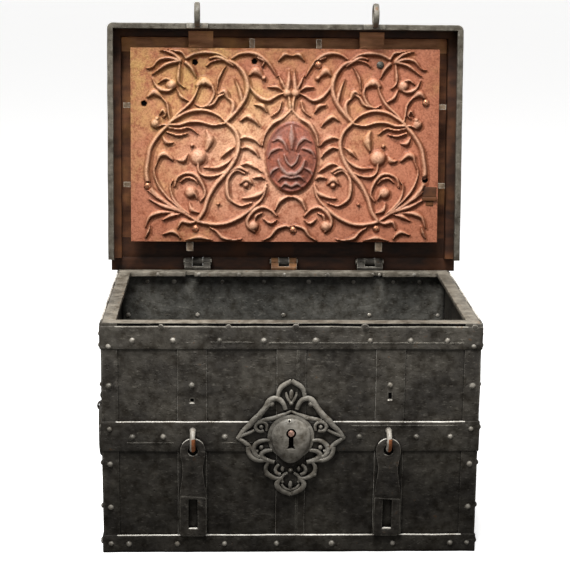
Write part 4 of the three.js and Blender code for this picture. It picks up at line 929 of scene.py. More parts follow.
# Curls of the escutcheon's right half, in millimetres from its centre: widths from start to end, then points
CURLS = (
    ((5, 8, 6), ((21, 62), (21, 76), (14, 86), (3, 90), (0, 93))),
    ((6, 9, 7), ((9, 46), (12, 58), (22, 66), (34, 62), (39, 50), (47, 40), (51, 32))),
    ((7, 9, 6), ((33, 57), (42, 48), (50, 36), (60, 28), (66, 18), (75, 13), (83, -1))),
    ((3, 7, 6), ((0, 43), (9, 38), (20, 35), (27, 30), (42, 29), (52, 26))),
    ((4, 6, 5), ((39, 11), (36, 20), (44, 27), (55, 24), (58, 14), (50, 8), (43, 11))),
    ((4, 6, 5), ((58, 12), (64, 8), (72, 6), (80, 2), (85, -2))),
    ((6, 7, 5), ((84, -1), (74, -8), (66, -14), (60, -22), (52, -24))),
    ((5, 8, 6), ((34, -6), (44, -4), (54, -9), (60, -18), (58, -29), (50, -35), (44, -31))),
    ((6, 8, 5), ((68, -16), (68, -27), (60, -36), (50, -40), (36, -38))),
    ((5, 9, 6), ((30, -22), (40, -22), (48, -27), (46, -36), (33, -41), (26, -42))),
    ((5, 7, 6), ((34, -40), (40, -49), (40, -58), (32, -66), (22, -70), (13, -68))),
    ((4, 6, 5), ((18, -46), (27, -52), (26, -60), (16, -62))),
    ((4, 6, 4), ((5, -60), (14, -63), (17, -70), (12, -76))),
    ((6, 9, 7), ((13, -68), (22, -74), (23, -83), (14, -90), (0, -95))),
    ((3, 5, 4), ((14, -78), (12, -85), (5, -88), (0, -88))),
    ((4, 6, 2), ((0, 56), (5, 62), (9, 69), (8, 74))),
)
# Buds between the curls: place, width and height, in the same measure
BUDS = ((0, 70, 7, 17), (31, 55, 9, 9), (0, -80, 7, 14), (47, -17, 7, 8), (47, 17, 7, 7), (38, -62, 7, 8),
        (13, -53, 6, 9))


def make_escutcheon():
    """Openwork of forged curls round the keyhole: flattened bars laid over each other, with buds between."""
    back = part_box("keyhole_escutcheon")[1].y
    pieces = []
    for mirror in (-1, 1):
        for number, (widths, points) in enumerate(CURLS):
            lift = (3.4 + 1.0 * (number % 3)) * MM
            route = [(mirror * x * MM, 0, z * MM) for x, z in points]
            curl = drawn(route, [w * 1.1 * MM for w in widths])
            depth = Matrix.Diagonal((1, 0.75, 1, 1))
            settle(curl, Matrix.Translation((0, back - lift / 2, MID_Z)) @ depth)
            pieces.append(curl)
        for x, z, width, height in BUDS:
            if x == 0 and mirror < 0:
                continue
            bud = settle(ball(16, 10), Matrix.Translation((mirror * x * MM, back - 2.2 * MM, MID_Z + z * MM))
                         @ Matrix.Diagonal((width / 2 * MM, 3 * MM, height / 2 * MM, 1)))
            pieces.append(smooth(bud, 80))
    plate = cut_from_sheet(ring_of(0, 0, 37 * MM, 40), [], -1.3 * MM, 1.3 * MM)
    settle(plate, Matrix.Translation((0, back - 1.5 * MM, MID_Z)))
    pieces.append(plate)
    pieces += rivet_heads([(0, back - 2.4 * MM, MID_Z + 56 * MM), (0, back - 2.4 * MM, MID_Z - 55 * MM)],
                          (0, -1, 0), 71, radius=3.6 * MM, height=3.4 * MM)
    whole = hammered(joined("openwork_escutcheon", pieces), 0.9 * MM, 11 * MM)
    dressed(whole, look("curl_iron"), "box", "worn_iron", "keyhole_escutcheon")


def make_keyhole_boss():
    """A raised dome that narrows to a shield's tip, pierced by a keyhole with the pin of the lock in it."""
    lo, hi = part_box("keyhole_boss")
    back = hi.y
    radius = hi.x
    rise = hi.y - lo.y
    dome = ball(64, 32, 0)
    settle(dome, Matrix.Translation((0, back, MID_Z)) @ Matrix.Rotation(math.pi / 2, 4, "X")
           @ Matrix.Diagonal((radius, radius, rise, 1)))
    tail_drop = MID_Z - lo.z
    for vertex in dome.data.vertices:
        down = MID_Z - vertex.co.z
        if down > 0:
            share = down / radius
            vertex.co.z = MID_Z - tail_drop * share
            vertex.co.x *= 1 - 0.22 * share * share
    key_z = MID_Z + 9 * MM
    hole = rod((0, lo.y - 9 * MM, key_z), (0, back - 3 * MM, key_z), 8.0 * MM, 28)
    slot = cut_from_sheet([(-3.6 * MM, 0), (-4 * MM, -20 * MM), (-7 * MM, -25 * MM), (7 * MM, -25 * MM),
                           (4 * MM, -20 * MM), (3.6 * MM, 0)], [], -12 * MM, 12 * MM, 0.2 * MM)
    settle(slot, Matrix.Translation((0, back - 15.5 * MM, key_z)))
    small = rod((-3 * MM, lo.y - 9 * MM, MID_Z + 28 * MM), (-3 * MM, back - 2 * MM, MID_Z + 28 * MM),
                1.8 * MM, 12)
    cut_out(dome, hole, slot, small)
    # The keyhole's bore and slot are painted black: a painted shade
    marked(dome, "bore_black", where=lambda at: at.y > lo.y + 4 * MM and (
        math.hypot(at.x, at.z - key_z) < 8.2 * MM
        or abs(at.x) < 7.3 * MM and key_z - 25.4 * MM < at.z < key_z))
    dome.name = "keyhole_dome"
    edged(dome, 0.5 * MM, 40)
    dressed(dome, look("curl_iron"), "box", "worn_iron", "keyhole_boss")
    pin = rod((0, lo.y + 1.6 * MM, key_z), (0, back - 1 * MM, key_z), 5.0 * MM, 28)
    pin.name = "keyhole_pin"
    dressed(pin, look("pin_copper"), "box", "worn_iron")


# Hasps and their staples

def hasp_outline(x):
    """The hasp's outline from its pivot down: a round head, a waist, shoulders and a square foot."""
    right = []
    for index in range(9):
        angle = math.radians(90 - index * 11.25)
        right.append((20 * MM * math.cos(angle), -16.6 * MM + 20 * MM * math.sin(angle)))
    right += [(19.6 * MM, -24 * MM), (17.4 * MM, -34 * MM), (16 * MM, -44 * MM), (16 * MM, -52 * MM),
              (17.6 * MM, -66 * MM), (20 * MM, -80 * MM), (21.4 * MM, -92 * MM), (21.5 * MM, -156 * MM),
              (17 * MM, -160 * MM)]
    left = [(-px, pz) for px, pz in reversed(right) if px > 0.01 * MM]
    return [(x + px, PIVOT_Z + pz) for px, pz in right + left]


def make_hasps():
    """Hasps forged from one bar: a thin head and waist, a step, and a thicker foot with the slot."""
    for side, x in HASP_PLACES.items():
        half = 2.5 * MM
        eye = ring_of(x, PIVOT_Z - 17.1 * MM, 8 * MM)
        slot_half, slot_top, slot_foot = 7.5 * MM, PIVOT_Z - 97 * MM, PIVOT_Z - 148 * MM
        slot = rounded([(x - slot_half, slot_top), (x - slot_half, slot_foot),
                        (x + slot_half, slot_foot), (x + slot_half, slot_top)], 2 * MM)
        strap = cut_from_sheet(hasp_outline(x), [eye, slot], PIVOT_Y - half, PIVOT_Y + half, 0.9 * MM)
        step_z = PIVOT_Z - (97 if side == "left" else 100) * MM
        foot = cut_from_sheet(
            rounded([(x - 20.7 * MM, PIVOT_Z - 158.5 * MM), (x + 20.7 * MM, PIVOT_Z - 159 * MM),
                     (x + 20.5 * MM, step_z + 2 * MM), (x - 20.5 * MM, step_z + 5 * MM)], 3 * MM),
            [slot], PIVOT_Y - half - 1.2 * MM, PIVOT_Y - half + 1 * MM, 0.6 * MM)
        # Upward faces, the head's top and the lower rims of the eye and the slot, take the bright finish:
        # partly wear, partly a painted highlight
        marked(strap, "rubbed_iron", (0, 0, 1), share=0.5)
        lip = forged((x - 7.4 * MM, PIVOT_Y - 2.9 * MM, PIVOT_Z - 151 * MM),
                     (x + 7.4 * MM, PIVOT_Y + 1.5 * MM, PIVOT_Z - 146.5 * MM), cell=3 * MM, depth=0.5 * MM)
        # The lip's upper face takes the same bright finish, partly a painted highlight
        marked(lip, "rubbed_iron", (0, 0, 1))
        hasp = joined("forged_hasp_" + side, [strap, foot, lip])
        hammered(hasp, 1.0 * MM, 30 * MM)
        dressed(hasp, look("hasp_iron"), side + "_hasp", "worn_iron", "hasp_" + side)
        seat = -HOOP_Y + 1 * MM
        mean = 14.5 * MM
        route = [(x, seat, PIVOT_Z + mean)]
        for index in range(11):
            angle = math.pi / 2 + index * math.pi / 10
            route.append((x, PIVOT_Y + mean * math.cos(angle), PIVOT_Z + mean * math.sin(angle)))
        route.append((x, seat, PIVOT_Z - mean))
        ring = drawn(route, [9.2 * MM, 8.6 * MM, 9.2 * MM], sides=6)
        marked(ring, "staple_rust", where=lambda at: at.z < PIVOT_Z + 7 * MM and at.x > x - 1 * MM)
        collar = drawn([(x, seat - 0.5 * MM, PIVOT_Z + mean), (x, seat - 3.2 * MM, PIVOT_Z + mean)],
                       [11 * MM, 10 * MM])
        staple = hammered(joined("ring_staple_" + side, [ring, collar]), 0.5 * MM, 9 * MM)
        dressed(staple, look("staple_iron"), "box", "bright_iron", "hasp_staple_" + side)


# Handles

# Half of a bail's line, from its end in the eye: out from its middle and up from its axis, in millimetres
BAIL = ((24.5, 0), (31, 0), (36.5, 0), (42, -3), (46, -13), (47, -30), (46, -52), (40, -74), (22, -89),
        (0, -95))


# An eye of a handle's plate: how far from the plate's middle, its radius, its hole and half its thickness
EYE_OUT = 31 * MM
EYE_RADIUS = 8 * MM
EYE_HOLE = 5.3 * MM
EYE_HALF = 4.5 * MM


def make_handles():
    """Drop handles: a plate with two eyes on each side, and a bail of round bar with upset ends."""
    axis_x = JOINTS["right_handle_swing"]["pos_m"][0]
    axis_z = JOINTS["right_handle_swing"]["pos_m"][2]
    for side, sign in (("left", -1), ("right", 1)):
        lo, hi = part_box("handle_plate_" + side)
        x = sign * axis_x
        inner = sign * (HOOP_X + 0.3 * MM)
        outer = sign * (HOOP_X + 2.9 * MM)
        plate = forged((min(inner, outer), lo.y, lo.z), (max(inner, outer), hi.y, hi.z), cell=6 * MM)
        pieces = [plate]
        for y in (-EYE_OUT, EYE_OUT):
            eye = cut_from_sheet(ring_of(0, 0, EYE_RADIUS, 28), [ring_of(0, 0, EYE_HOLE, 20)], -EYE_HALF,
                                 EYE_HALF, 0.8 * MM)
            settle(eye, Matrix.Translation((x, y, axis_z)))
            end = x - sign * 6 * MM
            neck = forged((min(outer, end), y - EYE_HALF, axis_z - EYE_RADIUS),
                          (max(outer, end), y + EYE_HALF, axis_z + EYE_RADIUS), cell=3 * MM, depth=0.5 * MM)
            pieces += [eye, neck]
        places = [(outer, y, axis_z + z) for y in (-38 * MM, 38 * MM) for z in (-14 * MM, 14 * MM)]
        pieces += rivet_heads(places, (sign, 0, 0), 81, height=1.5 * MM)
        dressed(joined("handle_seat_" + side, pieces), look("dark_iron"), "box", "dark_iron",
                "handle_plate_" + side)
        full = BAIL + tuple((-y, z) for y, z in reversed(BAIL[:-1]))
        route = [(x, y * MM, axis_z + z * MM) for y, z in full]
        bail = drawn(route, [8.6 * MM, 8.6 * MM, 9.4 * MM, 11.5 * MM, 9.4 * MM, 8.6 * MM, 8.6 * MM], sides=6)
        bail.name = "bail_" + side
        hammered(bail, 0.5 * MM, 14 * MM)
        dressed(bail, look("worn_iron"), side + "_handle", "bright_iron", "handle_bail_" + side)


# The lid's shell

def opened(piece):
    """Turns a piece that is modelled on the shut box to where it stands with the lid open."""
    return settle(piece, OPENED)


def skirt_path():
    """Stations round the lid's rim from its left rear end: place, inward direction."""
    stations = []
    corner = LID_CORNER
    stop = LID_REAR

    def go_round(centre_x, first):
        for index in range(1, 7):
            angle = first + index * math.pi / 14
            place = (centre_x + corner * math.cos(angle), LID_FRONT + corner + corner * math.sin(angle))
            stations.append((place, (-math.cos(angle), -math.sin(angle))))

    for index in range(28):
        share = index / 27
        stations.append(((-LID_HALF, stop + share * (LID_FRONT + corner - stop)), (1, 0)))
    go_round(-LID_HALF + corner, math.pi)
    for index in range(40):
        share = index / 39
        stations.append(((-LID_HALF + corner + share * 2 * (LID_HALF - corner), LID_FRONT), (0, 1)))
    go_round(LID_HALF - corner, -math.pi / 2)
    for index in range(28):
        share = index / 27
        stations.append(((LID_HALF, LID_FRONT + corner + share * (stop - LID_FRONT - corner)), (-1, 0)))
    return stations


def make_lid_sheet():
    """The lid's top: a hammered sheet, with strips behind it that reach past the hinges."""
    sheet = forged((-LID_HALF + 2 * MM, LID_FRONT + 2 * MM, LID_UNDER),
                   (LID_HALF - 2 * MM, LID_REAR, LID_TOP), cell=9 * MM)
    keyhole = rod((0, 0, LID_UNDER - 9 * MM), (0, 0, LID_TOP + 9 * MM), 8 * MM, 28)
    cut_out(sheet, keyhole)
    ends = [-LID_HALF + 1 * MM]
    for place in STRAP_PLACES:
        ends += [place - STRAP_HALF - 0.5 * MM, place + STRAP_HALF + 0.5 * MM]
    ends.append(LID_HALF - 1 * MM)
    tails = [forged((ends[i], LID_REAR - 1 * MM, LID_UNDER + 0.1 * MM),
                    (ends[i + 1], LID_TAIL, LID_TOP - 0.1 * MM),
                    depth=0.4 * MM) for i in range(0, len(ends), 2)]
    # Strips that close each hinge's gaps: from and to, in millimetres from its middle, and where they start.
    # The middle one leaves the barrel free.
    tongues = ((-23.6, -9.5, LID_REAR - 1 * MM), (-9.4, 9.4, HINGE.y + 7.5 * MM),
               (9.5, 23.6, LID_REAR - 1 * MM))
    for place in STRAP_PLACES:
        for near, far, start in tongues:
            strip = forged((place + near * MM, start, LID_UNDER + 0.3 * MM),
                           (place + far * MM, LID_TAIL - 0.3 * MM, LID_TOP - 0.3 * MM), cell=4 * MM,
                           depth=0.2 * MM)
            tails.append(strip)
    joined("lid_sheet", [sheet, *tails])
    # The underside takes lit and shaded copies of the red lead: a lit strip at the front edge, half shade over
    # the middle and sides, and a painted shadow toward the hinges
    for finish in ("dark_iron", "inner_paint", "sooty_primer", "side_paint"):
        sheet.data.materials.append(look(finish))
    for polygon in sheet.data.polygons:
        if polygon.normal.z < -0.5:
            side = 3 if polygon.center.y > 5 * MM - COVER_HALF_Y else 1
            polygon.material_index = side if polygon.center.y < COVER_HALF_Y else 2
    opened(sheet)
    dressed(sheet, None, "lid", "dark_iron", "lid_plate")


def make_lid_skirt():
    """The lid's skirt, which is rolled into a bead at its foot, with a ledge inside it."""
    profile = [(0, SKIRT_BOTTOM + 1.5 * MM), (1.5 * MM, SKIRT_BOTTOM), (BEAD - 1 * MM, SKIRT_BOTTOM),
               (BEAD, SKIRT_BOTTOM + 1 * MM), (BEAD, SKIRT_BOTTOM + BEAD),
               (SKIRT_WALL, SKIRT_BOTTOM + BEAD + 5 * MM),
               (SKIRT_WALL, LEDGE_Z), (LEDGE_WIDTH - 1 * MM, LEDGE_Z), (LEDGE_WIDTH, LEDGE_Z + 1 * MM),
               (LEDGE_WIDTH, SKIRT_TOP), (0, SKIRT_TOP)]
    stations = skirt_path()
    points = []
    for (x, y), (dx, dy) in stations:
        for inward, z in profile:
            points.append((x + dx * inward, y + dy * inward, z))
    ring = len(profile)
    faces = []
    for row in range(len(stations) - 1):
        for column in range(ring):
            nxt = (column + 1) % ring
            faces.append((row * ring + column, row * ring + nxt, (row + 1) * ring + nxt,
                          (row + 1) * ring + column))
    faces.append(tuple(range(ring)))
    faces.append(tuple(reversed(range((len(stations) - 1) * ring, len(stations) * ring))))
    mesh = bpy.data.meshes.new("lid_skirt")
    mesh.from_pydata(points, [], faces)
    skirt = faces_outward(linked("lid_skirt", mesh))
    smooth(hammered(skirt, 1.0 * MM, 40 * MM), 35)
    # Inside, the wall and the ledge take the dark copy of the red lead: a painted shade
    for finish in ("bead_iron", "ledge", "dark_iron"):
        skirt.data.materials.append(look(finish))
    for polygon in skirt.data.polygons:
        z = polygon.center.z
        if z > SKIRT_BOTTOM + BEAD + 1 * MM:
            inside = abs(polygon.center.x) < LID_HALF - 3 * MM and polygon.center.y > LID_FRONT + 3 * MM
            polygon.material_index = 1 if inside else 2
    opened(skirt)
    dressed(skirt, None, "lid", "worn_iron", "lid_skirt_front", "lid_skirt_left", "lid_skirt_right")


# A hook: its ring, half its thickness, and half the lengths of its cross bar and of its tab
HOOK_RADIUS = 21 * MM
HOOK_HOLE = 12 * MM
HOOK_HALF = 4.9 * MM
CROSS_BAR_HALF = 19 * MM
TAB_HALF = 22 * MM


def make_lid_hooks():
    """Rings that come through the raised hasps, each welded to a cross bar, with its tab inside the lid."""
    ring_y, ring_z = HOOK_RING
    for side, x in HASP_PLACES.items():
        outline = ring_of(0, 0, HOOK_RADIUS, 36)
        eye = cut_from_sheet(outline, [ring_of(0, 0, HOOK_HOLE, 28)], -HOOK_HALF, HOOK_HALF, 2.8 * MM)
        settle(eye, Matrix.Translation((x, ring_y, ring_z)) @ Matrix.Rotation(math.pi / 2, 4, "Z"))
        bar = forged((x - CROSS_BAR_HALF, LID_FRONT + 0.3 * MM, SKIRT_BOTTOM - 7.3 * MM),
                     (x + CROSS_BAR_HALF, LID_FRONT + BEAD - 0.3 * MM, SKIRT_BOTTOM - 0.3 * MM),
                     cell=4 * MM, depth=0.8 * MM)
        neck = forged((x - HOOK_HALF, LID_FRONT + 0.8 * MM, ring_z + 9 * MM),
                      (x + HOOK_HALF, LID_FRONT + BEAD - 0.8 * MM, SKIRT_BOTTOM - 5 * MM), cell=3 * MM,
                      depth=0.5 * MM)
        hook = hammered(joined("ring_hook_" + side, [eye, bar, neck]), 0.7 * MM, 12 * MM)
        opened(hook)
        dressed(hook, look("bright_iron"), "lid", "bright_iron", "lid_hook_" + side)
        tab_x = x + (5 * MM if side == "left" else 0)
        tab = forged((tab_x - TAB_HALF, LID_FRONT + BEAD + 1 * MM, LEDGE_Z - 0.5 * MM),
                     (tab_x + TAB_HALF, LID_FRONT + BEAD + 30 * MM, LEDGE_Z + 0.5 * MM), cell=4 * MM,
                     depth=0.1 * MM, edge=0.2 * MM)
        tab.name = "hook_tab_" + side
        opened(tab)
        # The tab takes the lit copy of the red lead
        dressed(tab, look("inner_paint"), "lid", "worn_iron")


# The embossed cover of the lock

# The drawing of the embossing, from points read off an enlarged view of the photograph. Its left half,
# in squares out from the ornament's axis and up from the plate's middle, 33 squares below the upper edge
SQUARE = COVER_HALF_Y / MM / 33

# Stems and leaves: widths at start, middle and end, and the points of the line, from the stem to the tip
VINES = (
    (1.3, 1.5, 1.1, ((32, -25.5), (30, -22.5), (28.5, -18), (26, -13.5), (22.5, -9.5), (19.5, -5), (18, 0),
                     (19, 4.5), (22.5, 8))),
    (1.2, 1.5, 0.5, ((22.5, 8), (19.5, 11), (16.5, 15), (15, 19.5), (16, 24), (19, 27.5), (23, 29),
                     (27, 28.5), (29, 27))),
    (0.7, 1.1, 1, ((23, 8.5), (25.5, 10.5), (30, 12), (35, 11.5), (39, 9.5), (42, 7.5))),
    (0.7, 1, 0.9, ((23, 7.5), (27, 7), (31, 8), (35, 8), (38.5, 7), (42, 7))),
    (1.2, 1.5, 0.9, ((41.5, 7.5), (45, 4), (48, -0.5), (49, -5), (49.5, -9.5), (48.5, -14), (45.5, -17.5),
                     (41.5, -20.5), (37, -23), (33, -25.5))),
    (0.5, 0.9, 0.7, ((46, -6), (47, -9), (45.5, -13.5), (43, -17), (40, -20), (36.5, -23))),
    (0.6, 1.3, 1.2, ((8.5, -14), (10, -18), (13.5, -21.5), (17.5, -24.5), (22, -26.5), (26, -27), (30, -26.5),
                     (32, -26))),
    # by the left fork
    (0.5, 0.7, 0.3, ((42, 6), (38.5, 5.5), (35, 6), (32, 4))),
    (0.5, 0.7, 0.3, ((42.5, 4.5), (39, 3.5), (35.5, 4))),
    (0.4, 1.5, 0.4, ((44, 3), (42.5, 1), (40.5, 1))),
    (0.4, 1.8, 0.7, ((46, -6), (45, -3.5), (43, -3), (40.5, -5))),
    (0.5, 1.7, 0.4, ((39, -5), (37, -5), (35.5, -3))),
    (0.7, 0.9, 0.6, ((32, -6), (31.5, -9), (29, -10.5), (25, -10), (22, -8.5))),
    (0.4, 1.2, 0.3, ((30, -7.5), (25.5, -7.5), (21.5, -5.5), (19.5, -3))),
    (0.3, 1.2, 0.3, ((24, -4), (22, -2), (19.5, -0.5))),
    (0.7, 2.4, 0.8, ((29, 5), (28, 2), (29, -1.5))),
    # the scroll above the fork
    (0.8, 1, 0.5, ((41, 8.5), (38.5, 11), (35, 14), (33, 17), (32, 19.5), (31.5, 21.5))),
    (1.5, 2.2, 1.5, ((32, 20.5), (30, 22), (27.5, 20.5))),
    (0.8, 1, 0.4, ((27, 20), (26.5, 17.5), (28, 14.5), (30.5, 13), (33, 14))),
    (0.6, 1, 0.6, ((30.5, 13), (27, 14), (25, 16.5), (23, 17.5))),
    (0.5, 1.5, 0.5, ((25, 17.5), (23, 18.5), (21.5, 16))),
    (0.3, 0.9, 0.3, ((25.5, 19), (25, 22.5), (23.5, 25.5), (22.5, 27))),
    (0.3, 1.3, 0.3, ((19.5, 23), (17.5, 18), (17, 14), (18.5, 11))),
    (0.4, 1.4, 0.4, ((23, 17), (20, 14.5), (20.5, 11), (22.5, 9))),
    # leaves of the upper corner
    (1.1, 1, 0.3, ((38, 29), (40.5, 31), (43.5, 32), (45, 32))),
    (1.1, 1, 0.3, ((38, 28.5), (41.5, 29.5), (45, 29), (47.5, 26.5), (49.5, 26))),
    (1, 1, 0.3, ((38.5, 28.5), (42.5, 27.5), (45.5, 25.5), (47.5, 24))),
    (0.7, 0.9, 0.3, ((36, 29.5), (37.5, 31.5), (40, 32), (42.5, 32.5))),
    (0.5, 1.1, 0.4, ((38, 28.5), (38.5, 24.5), (38.5, 21.5), (36.5, 19.5))),
    (1.2, 1.1, 0.3, ((36, 28), (34, 26), (32.5, 23))),
    (0.3, 1.4, 0.8, ((47.5, 22.5), (45.5, 19.5), (42.5, 18.5), (40, 19.5))),
    (0.3, 0.9, 0.4, ((45.5, 21), (43, 22.5), (40, 21.5))),
    (0.5, 1.1, 0.4, ((39, 19), (37.5, 16.5), (35, 15))),
    (0.8, 2, 0.8, ((49, 16.5), (47, 18), (44.5, 16.5))),
    (0.5, 0.8, 0.6, ((44.5, 16.5), (42.5, 14), (42, 11), (41.5, 8.5))),
    (0.4, 0.8, 0.4, ((45, 10.5), (44, 12), (43, 10.5), (44, 9.5))),
    (0.4, 0.6, 0.5, ((46.5, 6), (44, 7), (42, 7))),
    # along the upper edge
    (1, 1.2, 0.6, ((36, 29.5), (33, 31), (29, 31.5), (25, 31), (22, 29.5))),
    (0.7, 1.4, 0.4, ((20.5, 29.5), (18, 31), (14.5, 31.5), (11, 30.5), (7.5, 27.5), (5, 23.5))),
    (0.5, 1.3, 0.5, ((28, 29.5), (25.5, 30), (23, 29), (20, 27))),
    (0.6, 2.4, 0.8, ((14.5, 24), (12.5, 25.5), (10, 23.5))),
    (0.5, 0.7, 0.4, ((10, 27), (9.5, 28.5), (11, 29.5), (12.5, 30))),
    (0.7, 1.4, 0.5, ((15, 21.5), (13.5, 19), (11, 16.5), (8, 15.5), (5, 17), (2.5, 18))),
    (0.4, 1.2, 0.4, ((8, 20), (5, 20), (3, 18.5))),
    (0.4, 1.4, 0.4, ((12.5, 14), (10, 13.5), (8.5, 11.5))),
    (0.5, 0.8, 0.3, ((3.5, 15), (4.5, 12), (7, 10))),
    (1.5, 1.4, 0.4, ((1.5, 19), (1, 22.5), (1, 26))),
    (0.7, 1, 0.3, ((2, 19), (3.5, 22), (4.5, 24))),
    (0.8, 1.1, 0.5, ((1, 16.5), (0.5, 14), (0.5, 11))),
    (0.4, 1.3, 0.4, ((4.5, 29), (2.5, 31), (0, 30.5))),
    # the pointed frame over the cartouche
    (0.5, 1.3, 0.9, ((10, 0), (9, 4), (6.5, 7.5), (3, 9.5), (0, 12.5))),
    # crescent leaves beside the cartouche
    (0.4, 1.5, 0.3, ((17.5, 8.5), (15, 10), (12, 8), (11, 6.5))),
    (0.4, 1.4, 0.3, ((18.5, 2), (15.5, 3), (12.5, 2), (10.5, 0))),
    (0.4, 1.4, 0.3, ((17.5, -1), (15, -0.5), (12.5, -2), (11, -4))),
    (0.4, 1.4, 0.3, ((18, -7), (15, -6), (12, -7.5), (10, -9))),
    (0.4, 1.1, 0.3, ((13, -11), (10.5, -10.5), (9, -11.5))),
    # the scroll beside the cartouche's foot
    (0.6, 1.3, 0.4, ((16, -9.5), (19, -8.5), (21.5, -11), (22, -14), (21.5, -17.5), (19.5, -19.5),
                     (17, -20.5),
                     (13.5, -19.5))),
    (0.4, 1.3, 0.4, ((21, -9), (18, -7.5), (15, -9))),
    (0.6, 1.8, 0.6, ((17.5, -13), (15.5, -11.5), (13.5, -13))),
    (0.6, 1.5, 0.4, ((16.5, -18), (13.5, -17.5), (10, -16), (8.5, -13))),
    # the scroll of the lower left
    (0.6, 1.2, 0.6, ((40, -14), (39, -11), (36, -9.5), (33, -10), (30.5, -13), (29.5, -16.5), (31, -19))),
    (0.4, 0.8, 0.4, ((38, -12.5), (36, -11), (33.5, -11.5), (32, -13))),
    (0.5, 1, 0.4, ((36, -15.5), (35, -15), (33, -16.5), (32, -18.5))),
    (0.4, 1.5, 0.4, ((35, -19.5), (34, -22), (31.5, -23))),
    (0.4, 0.9, 0.6, ((40.5, -12), (41.5, -14), (40.5, -18), (38, -21), (35, -23.5))),
    # leaves of the lower corner
    (0.4, 1, 0.4, ((49, -15.5), (45.5, -18), (42.5, -20))),
    (0.5, 1.4, 0.6, ((48.5, -18.5), (44.5, -20.5), (40, -22), (36.5, -23.5))),
    (0.4, 1.5, 0.5, ((50, -28), (48.5, -24.5), (45, -23), (40, -23))),
    (0.4, 1.4, 0.4, ((44, -25.5), (41, -24), (38, -23.5))),
    (0.4, 0.8, 0.4, ((50, -31.5), (49, -29.5), (48.5, -27.5))),
    (0.4, 1.3, 0.4, ((44, -30.5), (41, -29.5), (39, -30.5), (38, -32))),
    (0.4, 1.5, 0.6, ((39, -28.5), (37.5, -26), (34.5, -26.5), (32, -25.5))),
    (0.4, 1.4, 0.4, ((36, -32.5), (32, -31.5), (29, -32), (27, -32.5))),
    (0.5, 1.2, 0.4, ((28, -28), (25.5, -29.5), (23.5, -31.5), (20, -32.5), (17, -32))),
    # along the lower edge
    (0.5, 1.2, 0.8, ((9.5, -32.5), (7, -31), (5, -28.5), (2, -27.5), (0, -28))),
    (0.6, 1.4, 0.7, ((5, -24), (7, -22), (10, -21), (13, -22.5), (15, -25.5), (14.5, -28), (12.5, -29.5))),
    (0.4, 1.1, 0.4, ((5, -25.5), (7, -26.5), (9.5, -25))),
    (0.4, 0.9, 0.4, ((10, -23), (12, -24), (12.5, -26))),
    (0.6, 1.3, 0.7, ((5.5, -22), (4, -19), (1.5, -17.5), (0, -17.5))),
)

# Leaf curls of the cartouche, drawn in the same way
CARTOUCHE_LEAVES = (
    (1, 2, 0.7, ((0, 6.5), (0, 3), (0, -1))),
    (0.5, 1.2, 0.4, ((6.5, 1.5), (4.5, 2.5), (2.5, 1), (1.5, -1.5))),
    (0.4, 1.1, 0.4, ((8, -4), (7, -2), (5, -1), (3.5, -1))),
    (0.7, 1.3, 1.3, ((4.5, -5), (3.5, -7.5), (1.5, -9.5), (0, -9.5))),
    (0.5, 0.7, 0.7, ((2.5, -3), (1.5, -5.5), (0, -7))),
    (0.4, 1, 0.4, ((7.5, -10.5), (6.5, -8.5), (4.5, -7.5))),
    (0.4, 1, 0.8, ((4.5, -12), (3, -10.5), (0, -11))),
    (0.5, 1.1, 0.8, ((3.5, -14), (2, -13), (0, -14))),
)

# Berries and buds: place and radius
BERRIES = (
    (32, -4, 2.3), (41, 20.5, 1.6), (46.5, 7.5, 1.4), (46, 9, 0.7), (34.5, -16, 1.7), (13, -27.5, 1.6),
    (1.5, 18, 1.4),
    (15.5, -13.5, 0.8), (30, 21.5, 1.1), (9.5, 23, 0.7), (25, -20, 0.4), (34, 0, 0.5),
)

# More of the embossed plate, its lengths in millimetres and its places from the plate's middle
AXIS_X = 11  # the ornament's axis stands a little right of the plate's middle
RIGHT_SHARE = 0.93  # the right half is drawn that much narrower
BADGE = (11, -20, 47, 65, 9)  # the cartouche: centre, half width, half height and rise
PEAK = (28, 26)  # the arch over the cartouche: half width and half height
LEAF_HEIGHT = 3.4  # of the cartouche's leaves
HOLE_RADIUS = 4.8
SEAT_RADIUS = 8  # flat round a screw or an empty hole
EDGE_FALL = 4  # width in which the sheet's edge falls
SCREWS = ((58, 143), (168, 143), (250, 77), (-244, -72), (-159, -148), (15, -150), (164, -147))
EMPTY_HOLES = ((-160, 146), (-55, 148), (-250, 73), (251, -60))


def smooth_line(points, steps=7):
    """Points along a smooth line through the given ones."""
    known = np.array(points, float)
    padded = np.vstack([2 * known[0] - known[1], known, 2 * known[-1] - known[-2]])
    out = []
    for index in range(len(known) - 1):
        before, first, last, after = padded[index:index + 4]
        for step in range(steps):
            t = step / steps
            bend = (2 * before - 5 * first + 4 * last - after) * t * t
            twist = (3 * first - before - 3 * last + after) * t ** 3
            out.append(0.5 * (2 * first + (last - before) * t + bend + twist))
    out.append(known[-1])
    return np.array(out)


